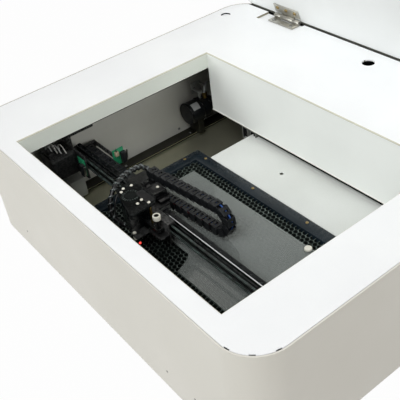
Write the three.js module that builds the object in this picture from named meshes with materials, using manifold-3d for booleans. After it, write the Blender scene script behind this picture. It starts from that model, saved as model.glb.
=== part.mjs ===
// Desktop laser cutter, lid open. Millimetres, +Z up, front towards -Y.
// The frame's origin is under the middle of the machine, on the surface its feet stand on.
import * as THREE from "three";
import { mergeVertices } from "three/addons/utils/BufferGeometryUtils.js";
import Module from "manifold-3d";

const wasm = await Module();
wasm.setup();

const GAP = 0.3;
const ROUND_SIDES = 24;
const CORNER_SIDES = 10;

// Case
const CASE = { halfWidth: 330, halfDepth: 282.5, corner: 50, sheet: 2, bottom: 12, top: 195 };
const FOOT = { radius: 15, height: 11.7, x: 268, y: 222, sole: 13, sideLow: 3 };
const PANEL = { seam: 0.5, rear: 272.5 };
const NOTCH = { width: 7, depth: 1.6, degrees: [12, 45, 78] };
const MOUTH = { left: -214, right: 251, front: -252.5, rear: 100 };
const SKIRT = { sheet: 1.5, depth: 28.7, rearDepth: 108.7 };
const SIDE_WALL = { x: 291.5, sheet: 1.5, front: -268, rear: 266, flange: 25, lip: 3 };
const POCKET = { x: 205, halfWidth: 47, front: 240.5, depth: 3.7 };
const SMALL_HOLE = { x: -305, y: 217.5, radius: 9 };
const LARGE_HOLE = { x: 10.5, y: 240.5, radius: 10 };
const CASE_SCREW_X = [-209.6, 161.2, 216.8];
const CASE_SCREW = { z: 44, radius: 1.7 };

// Lid, drawn shut and then swung open about the hinge pin
const PIN = { y: 269.5, z: 197, radius: 1.8 };
const LID = { openAngle: 70, halfWidth: 328, front: -280.5, rear: 276.5, corner: 48 };
const LID_SHEET = { under: 202.5, thick: 1.5, lipBottom: 195.7, lipRear: 256 };
const HINGE = { x: 199, halfWidth: 30, leaf: 1.8, front: 251.5, knuckle: 4, bore: 2.3, ear: 15 };

// Bed
const TRAY = { left: -150, right: 190, front: -226.5, rear: 13.5, bottom: 14.3, top: 74 };
const TRAY_SHEET = { thick: 1.5, flange: 19.5, curtain: 14, ledge: 4 };
const MESH = { thick: 10, top: 71, gap: 0.5 };
const BED_PLATE = { left: -117, right: 210, front: 14.2, rear: 187.5, top: 74, sheet: 1.5 };
const BED_PLATE_HOLE = { x: -1, y: 62, radius: 3 };
const CLEAR = { left: -108, right: 165, rear: -27.5, front: -184, step: 48, stepY: -152, thick: 3 };
const MAGNET = { x: 151, y: -32, radius: 5.5, height: 3.2 };

// Gantry, running front to rear on the side walls
const Y_RAIL = { front: -240, rear: 236, low: 133, high: 142, depth: 6.5 };
const Y_DRIVE = { y: 137.5, z: 161, idlerY: -256, pulley: 6, flange: 8, beltX: 279, shaft: 3 };
const BELT = { width: 5, thick: 1.4, clear: 0.3 };
const MOTOR = { side: 42, chamfer: 4, crossLength: 40, beltLength: 42, hangerHalf: 8 };
const MOTOR_SOCKET = { halfWidth: 8, rear: 2, length: 10, rise: 5 };
const END_PLATE = { inner: 276, front: -162.5, rear: -102.5, low: 83, high: 151, jaw: 0.4 };
const END_NECK = { rear: -146, low: 92, high: 122 };
const BEAM = { front: -145.5, rear: -132.5, low: 83, high: 102.7, halfLength: 275.6 };
const CHAIN_SHELF = { left: -264, right: -60, depth: 17, thick: 2 };
const X_RAIL = { halfLength: 268, front: -144.5, rear: -135.5, height: 6.5 };
const X_DRIVE = { motorX: -251, idlerX: 256, y: -155.5, z: 104, plateFront: -163, plateThick: 3 };

// Cable chain: a lower strand on the shelf, a bend, and an upper strand back to the carriage
const CHAIN = { width: 15, height: 14, radius: 20.5, pitch: 14, start: -256, straight: -160 };
const CHAIN_RUN = { bend: 45, end: -82, y: -124, drift: 0.125, low: 92.6, sag: 4.6, waist: 10 };

// Carriage and laser head
const BLOCK = { left: -62, right: -22, skirt: 18, low: 105, high: 116 };
const CARRIAGE = { left: -76, right: 17, thick: 2.5, front: -163.2, low: 84, armLeft: -112 };
const SHELF = { right: -20, ledge: 12 };
const FOCUS_BRACKET = { left: -14, front: -178, low: 99, thick: 2 };
const HEAD = { left: -63, right: -25, front: -198.5, rear: -163.8, low: 92, high: 143 };
const COVER = {
  thick: 3,
  ledge: 2.5,
  plan: [
    [-71, -170],
    [-68, -187],
    [-7, -204],
    [-3, -201],
    [-4, -165],
    [-14, -156],
    [-61, -156],
    [-71, -164],
  ],
};
const FINS = { first: 8, last: 14, pitch: 6, slot: 2.5, deep: 3 };
const FAN = { x: -42, y: -178.5, recess: 10, radius: 13.9, hub: 7.5, blade: 12.5, blades: 7 };
const NOZZLE = { x: -44, y: -181, wide: 10, narrow: 4, bore: 1.6, length: 9.4, collar: 3 };
const KNOB = { x: 3, y: -170, radius: 5.8, bore: 3.4, low: 124.6, high: 131.8, stem: 2, stemLow: 95 };
const LUG = { right: 8.5, front: -175.5, rear: -164.8, low: 106, high: 110, bore: 2.7 };
const GUIDE = { x: -11, y: -169.5, radius: 2 };
const BUNDLE = {
  radius: 4,
  reach: 15.5,
  startZ: 129,
  route: [
    [-101, -121, 134],
    [-102, -127, 138],
    [-98, -136, 142],
    [-91, -148, 145],
    [-86, -162, 148],
    [-80, -174, 148],
    [-75.5, -184, 145],
    [-73, -192, 138],
    [-70, -198, 130],
    [-66, -202, 120],
    [-61, -202, 110],
    [-55, -198, 102],
    [-50, -194.5, 97],
  ],
};

// Limit switches on the gantry's left end
const SWITCH = { left: -224, width: 20, board: 1.6, low: 89, high: 118, body: 6, lever: 0.8 };
const SWITCH_ARM = { right: -200.6, low: 84, high: 92, thick: 2 };
const REAR_SWITCH = { rear: -96, lower: 4 };
const SWITCH_LEVER = { length: 17, width: 4, lean: 10, pivotZ: 94 };

// Air pump, electronics and rear fittings
const PUMP = { x: -270, z: 61, radius: 20, front: 80, length: 46, neck: 13, neckLength: 14 };
const PUMP_FOOT = { halfWidth: 15, thick: 12, low: 19.1 };
const SUPPLY = { left: -30, right: 140, front: 191, rear: 258, low: 14.3, high: 62 };
const BOARD = { left: -178, right: -60, front: 200, rear: 272, low: 24, thick: 1.6 };
const SUPPLY_SLOTS = { margin: 20, pitch: 12, width: 5, inset: 14, deep: 2 };
const BOARD_LEG = { inset: 5, radius: 3 };
// Components on the control board: offsets from its left and front edges, size and height.
const BOARD_PARTS = [
  { x: 30, y: 25, width: 18, depth: 18, height: 2.5 },
  { x: 62, y: 12, width: 16, depth: 20, height: 12 },
  { x: 86, y: 12, width: 16, depth: 20, height: 12 },
  { x: 12, y: 60, width: 94, depth: 9, height: 9 },
];
const BOX = { left: -286, right: -252, front: -178, rear: -150, low: 19.1, high: 55 };
const EXHAUST = { x: -205, z: 105, side: 92, depth: 25, bore: 42, hub: 17, blade: 40, blades: 7 };
const INLET = { x: 225, z: 56, width: 48, height: 27, depth: 20, face: 1.6 };
const INLET_SOCKET = { halfWidth: 12, halfHeight: 7.5, floor: 3, pins: [-7, 0, 7], pinHalf: 1, pinTall: 2.5 };
const ROCKER = { x: 170, y: 283, z: 56, width: 12, height: 22, depth: 7, tilt: 7 };
const SWITCH_BODY = { width: 22, height: 32, depth: 18, slot: 25 };

function surface(colour, roughness, metalness) {
  return new THREE.MeshStandardMaterial({ color: colour, roughness, metalness });
}

const whitePaint = surface("#f0f1f0", 0.5, 0);
const greyPaint = surface("#6b6b66", 0.6, 0);
const blackMetal = surface("#17191b", 0.45, 0.3);
const steel = surface("#a8a9a6", 0.35, 0.9);
const zinc = surface("#6d6b5a", 0.45, 0.8);
const blackPlastic = surface("#1c1d1e", 0.55, 0);
const whitePlastic = surface("#ecebe4", 0.5, 0);
const clearPlastic = surface("#cfd8d6", 0.1, 0);
const greenBoard = surface("#12805a", 0.5, 0);
const brass = surface("#9c8a4c", 0.35, 0.9);
const rubber = surface("#1a1a1a", 0.9, 0);
const greyCase = surface("#9a9a97", 0.5, 0.2);

// A closed solid from a three.js geometry.
function solidOf(geometry) {
  const plain = geometry.clone();
  plain.deleteAttribute("normal");
  plain.deleteAttribute("uv");
  const merged = mergeVertices(plain, 1e-4);
  return new wasm.Manifold(
    new wasm.Mesh({
      numProp: 3,
      vertProperties: merged.attributes.position.array,
      triVerts: new Uint32Array(merged.index.array),
    }),
  );
}

function joined(solids) {
  return solids.reduce((whole, next) => whole.add(next));
}

function cutBy(solid, tools) {
  return tools.reduce((whole, tool) => whole.subtract(tool), solid);
}

// A box between two corners.
function block(x0, x1, y0, y1, z0, z1) {
  const box = new THREE.BoxGeometry(x1 - x0, y1 - y0, z1 - z0);
  box.translate((x0 + x1) / 2, (y0 + y1) / 2, (z0 + z1) / 2);
  return solidOf(box);
}

// A cylinder standing on z0, its axis at x, y.
function post(x, y, z0, z1, radius, sides = ROUND_SIDES) {
  const round = new THREE.CylinderGeometry(radius, radius, z1 - z0, sides);
  round.rotateX(Math.PI / 2);
  round.translate(x, y, (z0 + z1) / 2);
  return solidOf(round);
}

// A cylinder along X.
function rodX(x0, x1, y, z, radius, sides = ROUND_SIDES) {
  const round = new THREE.CylinderGeometry(radius, radius, x1 - x0, sides);
  round.rotateZ(-Math.PI / 2);
  round.translate((x0 + x1) / 2, y, z);
  return solidOf(round);
}

// A cylinder along Y.
function rodY(y0, y1, x, z, radius, sides = ROUND_SIDES) {
  const round = new THREE.CylinderGeometry(radius, radius, y1 - y0, sides);
  round.translate(x, (y0 + y1) / 2, z);
  return solidOf(round);
}

// A rectangle with rounded corners, drawn counter-clockwise.
function roundedOutline(x0, x1, y0, y1, radius) {
  const shape = new THREE.Shape();
  shape.moveTo(x0 + radius, y0);
  shape.lineTo(x1 - radius, y0);
  shape.absarc(x1 - radius, y0 + radius, radius, -Math.PI / 2, 0, false);
  shape.lineTo(x1, y1 - radius);
  shape.absarc(x1 - radius, y1 - radius, radius, 0, Math.PI / 2, false);
  shape.lineTo(x0 + radius, y1);
  shape.absarc(x0 + radius, y1 - radius, radius, Math.PI / 2, Math.PI, false);
  shape.lineTo(x0, y0 + radius);
  shape.absarc(x0 + radius, y0 + radius, radius, Math.PI, Math.PI * 1.5, false);
  return shape;
}

// A flat shape raised from z0 to z1.
function raised(shape, z0, z1, curveSegments = CORNER_SIDES) {
  const solid = new THREE.ExtrudeGeometry(shape, { depth: z1 - z0, bevelEnabled: false, curveSegments });
  solid.translate(0, 0, z0);
  return solidOf(solid);
}

function roundedSlab(inset, corner, z0, z1) {
  const x = CASE.halfWidth - inset;
  const y = CASE.halfDepth - inset;
  return raised(roundedOutline(-x, x, -y, y, corner - inset), z0, z1);
}

// A profile of [radius, height] points turned about a vertical axis at x, y.
function turned(profile, x, y, sides = ROUND_SIDES) {
  const points = profile.map(([radius, height]) => new THREE.Vector2(radius, height));
  const lathe = new THREE.LatheGeometry(points, sides);
  lathe.rotateX(Math.PI / 2);
  lathe.translate(x, y, 0);
  return solidOf(lathe);
}

function mirroredX(solid) {
  return solid.mirror([1, 0, 0]);
}

const machine = new THREE.Group();

function addPiece(name, solid, material, parent = machine) {
  const mesh = solid.getMesh();
  const geometry = new THREE.BufferGeometry();
  geometry.setAttribute("position", new THREE.BufferAttribute(mesh.vertProperties, 3));
  geometry.setIndex(new THREE.BufferAttribute(mesh.triVerts, 1));
  const piece = new THREE.Mesh(geometry, material);
  piece.name = name;
  parent.add(piece);
}

function sideShell() {
  const skin = roundedSlab(0, CASE.corner, CASE.bottom, CASE.top);
  const hollow = roundedSlab(CASE.sheet, CASE.corner, CASE.bottom - 1, CASE.top + 1);
  const frontHoles = CASE_SCREW_X.map((x) =>
    rodY(-CASE.halfDepth - 1, -CASE.halfDepth + CASE.sheet + 1, x, CASE_SCREW.z, CASE_SCREW.radius, 12),
  );
  const rearIn = CASE.halfDepth - CASE.sheet - 1;
  const rearOut = CASE.halfDepth + 1;
  const outlet = rodY(rearIn, rearOut, EXHAUST.x, EXHAUST.z, EXHAUST.bore, 36);
  const inletHole = block(
    INLET.x - INLET.width / 2 + 4,
    INLET.x + INLET.width / 2 - 4,
    rearIn,
    rearOut,
    INLET.z - INLET.height / 2 + 2,
    INLET.z + INLET.height / 2 - 2,
  );
  const switchHole = block(
    ROCKER.x - SWITCH_BODY.width / 2 + 2,
    ROCKER.x + SWITCH_BODY.width / 2 - 2,
    rearIn,
    rearOut,
    ROCKER.z - SWITCH_BODY.height / 2 + 2,
    ROCKER.z + SWITCH_BODY.height / 2 - 2,
  );
  return cutBy(skin, [hollow, outlet, inletHole, switchHole, ...frontHoles]);
}

function basePan() {
  return roundedSlab(CASE.sheet + GAP, CASE.corner, CASE.bottom, CASE.bottom + CASE.sheet);
}

function foot(x, y) {
  return turned(
    [
      [0, 0],
      [FOOT.sole, 0],
      [FOOT.radius, FOOT.sideLow],
      [FOOT.radius, FOOT.height],
      [0, FOOT.height],
    ],
    x,
    y,
  );
}

// The small gaps cut into the panel's edge round one of its front corners.
function seamNotches(side) {
  const radius = CASE.corner - CASE.sheet - PANEL.seam;
  const notch = block(
    -NOTCH.width / 2,
    NOTCH.width / 2,
    radius - NOTCH.depth,
    radius + 1,
    CASE.top - CASE.sheet - 1,
    CASE.top + 1,
  );
  const cornerX = side * (CASE.halfWidth - CASE.corner);
  const cornerY = CASE.corner - CASE.halfDepth;
  return NOTCH.degrees.map((degrees) =>
    notch.rotate([0, 0, 180 + side * degrees]).translate([cornerX, cornerY, 0]),
  );
}

function hingePocket(side) {
  const x0 = side * POCKET.x - POCKET.halfWidth;
  const x1 = side * POCKET.x + POCKET.halfWidth;
  const top = CASE.top - POCKET.depth;
  const dish = block(x0, x1, POCKET.front, PANEL.rear, top - CASE.sheet, CASE.top);
  const room = block(
    x0 + CASE.sheet,
    x1 - CASE.sheet,
    POCKET.front + CASE.sheet,
    PANEL.rear + 1,
    top,
    CASE.top + 1,
  );
  return { dish, room };
}

function topPanel() {
  const sheet = roundedSlab(CASE.sheet + PANEL.seam, CASE.corner, CASE.top - CASE.sheet, CASE.top);
  const wide = CASE.halfWidth;
  const behind = block(-wide, wide, PANEL.rear, CASE.halfDepth + 1, 0, CASE.top + 1);
  const mouth = block(MOUTH.left, MOUTH.right, MOUTH.front, MOUTH.rear, 0, CASE.top + 1);
  const pockets = [-1, 1].map(hingePocket);
  const dished = joined([sheet.subtract(behind), ...pockets.map((pocket) => pocket.dish)]);
  return cutBy(dished, [
    mouth,
    post(SMALL_HOLE.x, SMALL_HOLE.y, 0, CASE.top + 1, SMALL_HOLE.radius),
    post(LARGE_HOLE.x, LARGE_HOLE.y, 0, CASE.top + 1, LARGE_HOLE.radius),
    ...pockets.map((pocket) => pocket.room),
    ...seamNotches(-1),
    ...seamNotches(1),
  ]);
}

// The short skirt folded round the left, front and right of the mouth.
function skirtFrame() {
  const high = CASE.top - CASE.sheet - GAP;
  const low = CASE.top - SKIRT.depth;
  const t = SKIRT.sheet;
  const end = MOUTH.rear - GAP;
  return joined([
    block(MOUTH.left - t, MOUTH.left, MOUTH.front - t, end, low, high),
    block(MOUTH.right, MOUTH.right + t, MOUTH.front - t, end, low, high),
    block(MOUTH.left - t, MOUTH.right + t, MOUTH.front - t, MOUTH.front, low, high),
  ]);
}

function skirtRear() {
  return block(
    MOUTH.left - SKIRT.sheet,
    MOUTH.right + SKIRT.sheet,
    MOUTH.rear,
    MOUTH.rear + SKIRT.sheet,
    CASE.top - SKIRT.rearDepth,
    CASE.top - CASE.sheet - GAP,
  );
}

// The left inner wall, with a foot flange along the floor and a small upturned lip.
function innerWall() {
  const low = CASE.bottom + CASE.sheet + GAP;
  const face = -SIDE_WALL.x;
  const edge = face + SIDE_WALL.flange;
  const t = SIDE_WALL.sheet;
  return joined([
    block(face - t, face, SIDE_WALL.front, SIDE_WALL.rear, low, CASE.top - CASE.sheet - GAP),
    block(face - t, edge, SIDE_WALL.front, SIDE_WALL.rear, low, low + t),
    block(edge - t, edge, SIDE_WALL.front, SIDE_WALL.rear, low, low + t + SIDE_WALL.lip),
  ]);
}

function lidPanel() {
  const { halfWidth, front, rear, corner } = LID;
  const { under, thick, lipBottom, lipRear } = LID_SHEET;
  const outline = roundedOutline(-halfWidth, halfWidth, front, rear, corner);
  const inner = roundedOutline(
    -halfWidth + thick,
    halfWidth - thick,
    front + thick,
    rear - thick,
    corner - thick,
  );
  const skin = raised(outline, under, under + thick);
  const rim = raised(outline, lipBottom, under + thick / 2);
  const room = raised(inner, lipBottom - 1, under + thick);
  const behindPin = block(-halfWidth, halfWidth, lipRear, rear + 1, lipBottom - 1, under + thick);
  return skin.add(cutBy(rim, [room, behindPin]));
}

// The lower leaf with its two end knuckles and the pin between them.
function hingeLower(x) {
  const { halfWidth, leaf, front, knuckle, ear } = HINGE;
  const low = CASE.top - POCKET.depth + GAP;
  const x0 = x - halfWidth;
  const x1 = x + halfWidth;
  return joined([
    block(x0, x1, front, PIN.y - knuckle - 1, low, low + leaf),
    block(x0, x0 + ear, front, PIN.y, low, low + leaf),
    block(x1 - ear, x1, front, PIN.y, low, low + leaf),
    rodX(x0, x0 + ear, PIN.y, PIN.z, knuckle),
    rodX(x1 - ear, x1, PIN.y, PIN.z, knuckle),
    rodX(x0 + 1, x1 - 1, PIN.y, PIN.z, PIN.radius),
  ]);
}

// The upper leaf, lying under the shut lid, with the middle knuckle.
function hingeUpper(x) {
  const { halfWidth, leaf, front, knuckle, bore, ear } = HINGE;
  const high = LID_SHEET.under - GAP;
  const inside = halfWidth - ear - GAP;
  const barrel = rodX(x - inside, x + inside, PIN.y, PIN.z, knuckle);
  const plate = block(x - halfWidth, x + halfWidth, front - 4, PIN.y - knuckle - 2, high - leaf, high);
  const neck = block(x - inside, x + inside, front, PIN.y, high - leaf, high);
  const hole = rodX(x - halfWidth, x + halfWidth, PIN.y, PIN.z, bore);
  return joined([barrel, plate, neck]).subtract(hole);
}

// A deep tray with a wide top flange, whose inner curtain ends in a ledge for the mesh.
function bedTray() {
  const { left, right, front, rear, bottom, top } = TRAY;
  const { thick, flange, curtain, ledge } = TRAY_SHEET;
  const x0 = left + flange;
  const x1 = right - flange;
  const y0 = front + flange;
  const y1 = rear - flange;
  const body = block(left, right, front, rear, bottom, top);
  const room = block(left + thick, right - thick, front + thick, rear - thick, bottom + thick, top - thick);
  const window = block(x0, x1, y0, y1, bottom + thick, top + 1);
  const frame = block(x0 - thick, x1 + thick, y0 - thick, y1 + thick, top - curtain - thick, top);
  const well = block(x0, x1, y0, y1, top - curtain, top + 1);
  const drop = block(x0 + ledge, x1 - ledge, y0 + ledge, y1 - ledge, bottom + thick, top);
  return joined([cutBy(body, [room, window]), cutBy(frame, [well, drop])]);
}

function bedMesh() {
  const inset = TRAY_SHEET.flange + MESH.gap;
  return block(
    TRAY.left + inset,
    TRAY.right - inset,
    TRAY.front + inset,
    TRAY.rear - inset,
    MESH.top - MESH.thick,
    MESH.top,
  );
}

function bedPlate() {
  const { left, right, front, rear, top, sheet } = BED_PLATE;
  const low = CASE.bottom + CASE.sheet + GAP;
  return joined([
    block(left, right, front, rear, top - sheet, top),
    block(left, left + sheet, front, rear, low, top),
    block(right - sheet, right, front, rear, low, top),
    block(left, right, rear - sheet, rear, low, top),
  ]).subtract(post(BED_PLATE_HOLE.x, BED_PLATE_HOLE.y, top - 5, top + 1, BED_PLATE_HOLE.radius));
}

function clearSheet() {
  const { left, right, rear, front, step, stepY, thick } = CLEAR;
  const shape = new THREE.Shape();
  shape.moveTo(left, stepY);
  shape.lineTo(step - 8, stepY);
  shape.lineTo(step, stepY - 8);
  shape.lineTo(step + 10, front);
  shape.lineTo(right, front);
  shape.lineTo(right, rear);
  shape.lineTo(left, rear);
  return raised(shape, MESH.top + GAP, MESH.top + GAP + thick);
}

function sheetMagnet() {
  const low = MESH.top + GAP + CLEAR.thick + GAP;
  return post(MAGNET.x, MAGNET.y, low, low + MAGNET.height, MAGNET.radius);
}

function yRail() {
  const back = -SIDE_WALL.x + GAP;
  return block(back, back + Y_RAIL.depth, Y_RAIL.front, Y_RAIL.rear, Y_RAIL.low, Y_RAIL.high);
}

// A flanged pulley on its axle, along X.
function pulleyX(centre, y, z, bore) {
  const half = BELT.width / 2 + BELT.clear;
  return joined([
    rodX(centre - half, centre + half, y, z, Y_DRIVE.pulley),
    rodX(centre - half - 1, centre - half, y, z, Y_DRIVE.flange),
    rodX(centre + half, centre + half + 1, y, z, Y_DRIVE.flange),
    rodX(bore[0], bore[1], y, z, Y_DRIVE.shaft),
  ]);
}

function yDriveShaft() {
  const end = Y_DRIVE.beltX + BELT.width;
  const span = [-end, end];
  return joined([
    pulleyX(-Y_DRIVE.beltX, Y_DRIVE.y, Y_DRIVE.z, span),
    pulleyX(Y_DRIVE.beltX, Y_DRIVE.y, Y_DRIVE.z, span),
  ]);
}

function yIdler() {
  const wall = -SIDE_WALL.x + GAP;
  return pulleyX(-Y_DRIVE.beltX, Y_DRIVE.idlerY, Y_DRIVE.z, [wall, -Y_DRIVE.beltX + BELT.width]);
}

// A closed belt round two pulleys of one radius, flat in a plane, raised by its width.
function beltLoop(length, width) {
  const inner = Y_DRIVE.pulley + BELT.clear;
  const outer = inner + BELT.thick;
  const track = (radius) => roundedOutline(-radius, length + radius, -radius, radius, radius - 0.001);
  const outside = raised(track(outer), 0, width);
  return outside.subtract(raised(track(inner), -1, width + 1));
}

function yBelt() {
  const length = Y_DRIVE.y - Y_DRIVE.idlerY;
  const loop = beltLoop(length, BELT.width).rotate([90, 0, 90]);
  return loop.translate([-Y_DRIVE.beltX - BELT.width / 2, Y_DRIVE.idlerY, Y_DRIVE.z]);
}

function xBelt() {
  const length = X_DRIVE.idlerX - X_DRIVE.motorX;
  const loop = beltLoop(length, BELT.width).rotate([90, 0, 0]);
  return loop.translate([X_DRIVE.motorX, X_DRIVE.y + BELT.width / 2, X_DRIVE.z]);
}

// A flanged pulley on its axle, along Y.
function pulleyY(x, axleFront) {
  const { y, z } = X_DRIVE;
  const half = BELT.width / 2 + BELT.clear;
  return joined([
    rodY(y - half, y + half, x, z, Y_DRIVE.pulley),
    rodY(y - half - 1, y - half, x, z, Y_DRIVE.flange),
    rodY(y + half, y + half + 1, x, z, Y_DRIVE.flange),
    rodY(axleFront, y, x, z, Y_DRIVE.shaft),
  ]);
}

// A square motor body with cut corners, its shaft along Z from the origin.
function motorBody(length) {
  const half = MOTOR.side / 2;
  const cut = half - MOTOR.chamfer;
  const shape = new THREE.Shape();
  shape.moveTo(-cut, -half);
  shape.lineTo(cut, -half);
  shape.lineTo(half, -cut);
  shape.lineTo(half, cut);
  shape.lineTo(cut, half);
  shape.lineTo(-cut, half);
  shape.lineTo(-half, cut);
  shape.lineTo(-half, -cut);
  return raised(shape, -length, 0);
}

function yMotor() {
  const length = MOTOR.crossLength;
  const body = motorBody(length).rotate([0, 90, 0]).translate([length / 2, Y_DRIVE.y, Y_DRIVE.z]);
  const hanger = block(
    -length / 2,
    length / 2,
    Y_DRIVE.y - MOTOR.hangerHalf,
    Y_DRIVE.y + MOTOR.hangerHalf,
    Y_DRIVE.z,
    CASE.top - CASE.sheet - GAP,
  );
  const bore = rodX(-length, length, Y_DRIVE.y, Y_DRIVE.z, Y_DRIVE.shaft + 0.6);
  return joined([body, hanger]).subtract(bore);
}

function xMotor() {
  const rear = X_DRIVE.plateFront - GAP;
  const length = MOTOR.beltLength;
  const body = motorBody(length).rotate([-90, 0, 0]).translate([X_DRIVE.motorX, rear, X_DRIVE.z]);
  const socketFront = rear - length + MOTOR_SOCKET.rear;
  const top = X_DRIVE.z + MOTOR.side / 2;
  const socket = block(
    X_DRIVE.motorX - MOTOR_SOCKET.halfWidth,
    X_DRIVE.motorX + MOTOR_SOCKET.halfWidth,
    socketFront,
    socketFront + MOTOR_SOCKET.length,
    top - 1,
    top + MOTOR_SOCKET.rise,
  );
  const bore = rodY(rear - 8, rear + 1, X_DRIVE.motorX, X_DRIVE.z, Y_DRIVE.shaft + 0.8);
  return joined([body, socket]).subtract(bore);
}

// The plate that holds a pulley's axle in front of the beam.
function pulleyPlate(x0, x1, pulleyX0) {
  const { plateFront, plateThick, z } = X_DRIVE;
  const plate = block(x0, x1, plateFront, plateFront + plateThick, END_PLATE.low, z + MOTOR.side / 2);
  const hole = rodY(plateFront - 1, plateFront + plateThick + 1, pulleyX0, z, Y_DRIVE.shaft + 0.8);
  return plate.subtract(hole);
}

// A gantry end plate: a low foot, a neck at its front, and jaws that run over and under the rail.
function endPlate() {
  const { inner, front, rear, low, high, jaw } = END_PLATE;
  const railFace = -SIDE_WALL.x + GAP + Y_RAIL.depth;
  const reach = -SIDE_WALL.x + GAP + 1;
  return joined([
    block(railFace + jaw, -inner, front, rear, low, END_NECK.low),
    block(railFace + jaw, -inner, front, END_NECK.rear, low, high),
    block(railFace + jaw, -inner, front, rear, END_NECK.high, high),
    block(reach, -inner, front, rear, Y_RAIL.high + jaw, high),
    block(reach, -inner, front, rear, Y_RAIL.low - 9, Y_RAIL.low - jaw),
  ]);
}

function gantryEndLeft() {
  const armRear = END_PLATE.rear;
  const left = -END_PLATE.inner - 1;
  const armFront = armRear - SWITCH_ARM.thick;
  const arm = block(left, SWITCH_ARM.right, armFront, armRear, SWITCH_ARM.low, SWITCH_ARM.high);
  const front = pulleyPlate(left, SWITCH.left + SWITCH.width, X_DRIVE.motorX);
  return joined([endPlate(), front, arm]);
}

function gantryEndRight() {
  return mirroredX(endPlate()).add(pulleyPlate(X_DRIVE.idlerX - 12, END_PLATE.inner + 1, X_DRIVE.idlerX));
}

function gantryBeam() {
  const { front, rear, low, high, halfLength } = BEAM;
  return joined([
    block(-halfLength, halfLength, front, rear, low, high),
    block(
      CHAIN_SHELF.left,
      CHAIN_SHELF.right,
      rear - 1,
      rear + CHAIN_SHELF.depth,
      low,
      low + CHAIN_SHELF.thick,
    ),
  ]);
}

function xRail() {
  const low = BEAM.high + GAP;
  return block(-X_RAIL.halfLength, X_RAIL.halfLength, X_RAIL.front, X_RAIL.rear, low, low + X_RAIL.height);
}

// Where the chain's centre line is at a distance along it: position and slope in its own plane.
function chainPoint(distance) {
  const lowerLength = CHAIN_RUN.bend - CHAIN.start;
  const arcLength = Math.PI * CHAIN.radius;
  const high = CHAIN_RUN.low - CHAIN_RUN.sag + 2 * CHAIN.radius;
  if (distance < lowerLength) {
    const x = CHAIN.start + distance;
    const free = Math.max(0, (x - CHAIN_SHELF.right) / (CHAIN_RUN.bend - CHAIN_SHELF.right));
    return { x, z: CHAIN_RUN.low - CHAIN_RUN.sag * free, angle: 0 };
  }
  if (distance < lowerLength + arcLength) {
    const angle = (distance - lowerLength) / CHAIN.radius;
    return {
      x: CHAIN_RUN.bend + CHAIN.radius * Math.sin(angle),
      z: high - CHAIN.radius - CHAIN.radius * Math.cos(angle),
      angle,
    };
  }
  return { x: CHAIN_RUN.bend - (distance - lowerLength - arcLength), z: high, angle: Math.PI };
}

function chainY(x) {
  return CHAIN_RUN.y + Math.max(0, x - CHAIN.straight) * CHAIN_RUN.drift;
}

// One link: a wide crossbar cell with a narrower waist that reaches into the next link.
function chainLink(distance) {
  const { x, z, angle } = chainPoint(distance);
  const half = CHAIN.width / 2;
  const tall = CHAIN.height / 2;
  const cell = block(-CHAIN.pitch * 0.34, CHAIN.pitch * 0.34, -half, half, -tall, tall);
  const waist = block(
    -CHAIN.pitch * 0.75,
    CHAIN.pitch * 0.75,
    -CHAIN_RUN.waist / 2,
    CHAIN_RUN.waist / 2,
    -tall + 1.5,
    tall - 1.5,
  );
  const tilt = (-angle * 180) / Math.PI;
  return joined([cell, waist]).rotate([0, tilt, 0]).translate([x, chainY(x), z]);
}

function dragChain() {
  const length = CHAIN_RUN.bend - CHAIN.start + Math.PI * CHAIN.radius + CHAIN_RUN.bend - CHAIN_RUN.end;
  const count = Math.floor(length / CHAIN.pitch);
  const links = [];
  for (let i = 0; i <= count; i += 1) {
    links.push(chainLink((i * length) / count));
  }
  return joined(links);
}

// The block that rides on the beam's rail.
function carriageBlock() {
  const middle = (X_RAIL.front + X_RAIL.rear) / 2;
  const half = BLOCK.skirt / 2;
  const railTop = BEAM.high + GAP + X_RAIL.height;
  const body = block(BLOCK.left, BLOCK.right, middle - half, middle + half, BLOCK.low, BLOCK.high);
  const groove = block(
    BLOCK.left - 1,
    BLOCK.right + 1,
    X_RAIL.front - 0.4,
    X_RAIL.rear + 0.4,
    BLOCK.low - 1,
    railTop + 0.4,
  );
  return body.subtract(groove);
}

// The folded plate on the block: a shelf, an apron the head slides on, and an arm to the chain's end.
function carriagePlate() {
  const { left, right, thick, front, low, armLeft } = CARRIAGE;
  const shelfLow = BLOCK.high + GAP;
  const shelfHigh = shelfLow + thick;
  const rear = chainY(CHAIN_RUN.end) + CHAIN.width / 2;
  const stem = post(KNOB.x, KNOB.y, FOCUS_BRACKET.low - 1, FOCUS_BRACKET.low + 9, KNOB.stem + 0.7);
  const shelf = joined([
    block(left, SHELF.right, front, X_RAIL.rear + 4, shelfLow, shelfHigh),
    block(left, right, front, front + SHELF.ledge, shelfLow, shelfHigh),
    block(armLeft, -70, X_RAIL.front, rear, shelfLow, shelfHigh),
    block(left, right, front, front + thick, low, shelfHigh),
    block(
      FOCUS_BRACKET.left,
      right,
      FOCUS_BRACKET.front,
      front + 1,
      FOCUS_BRACKET.low,
      FOCUS_BRACKET.low + FOCUS_BRACKET.thick,
    ),
  ]);
  return shelf.subtract(stem);
}

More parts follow.
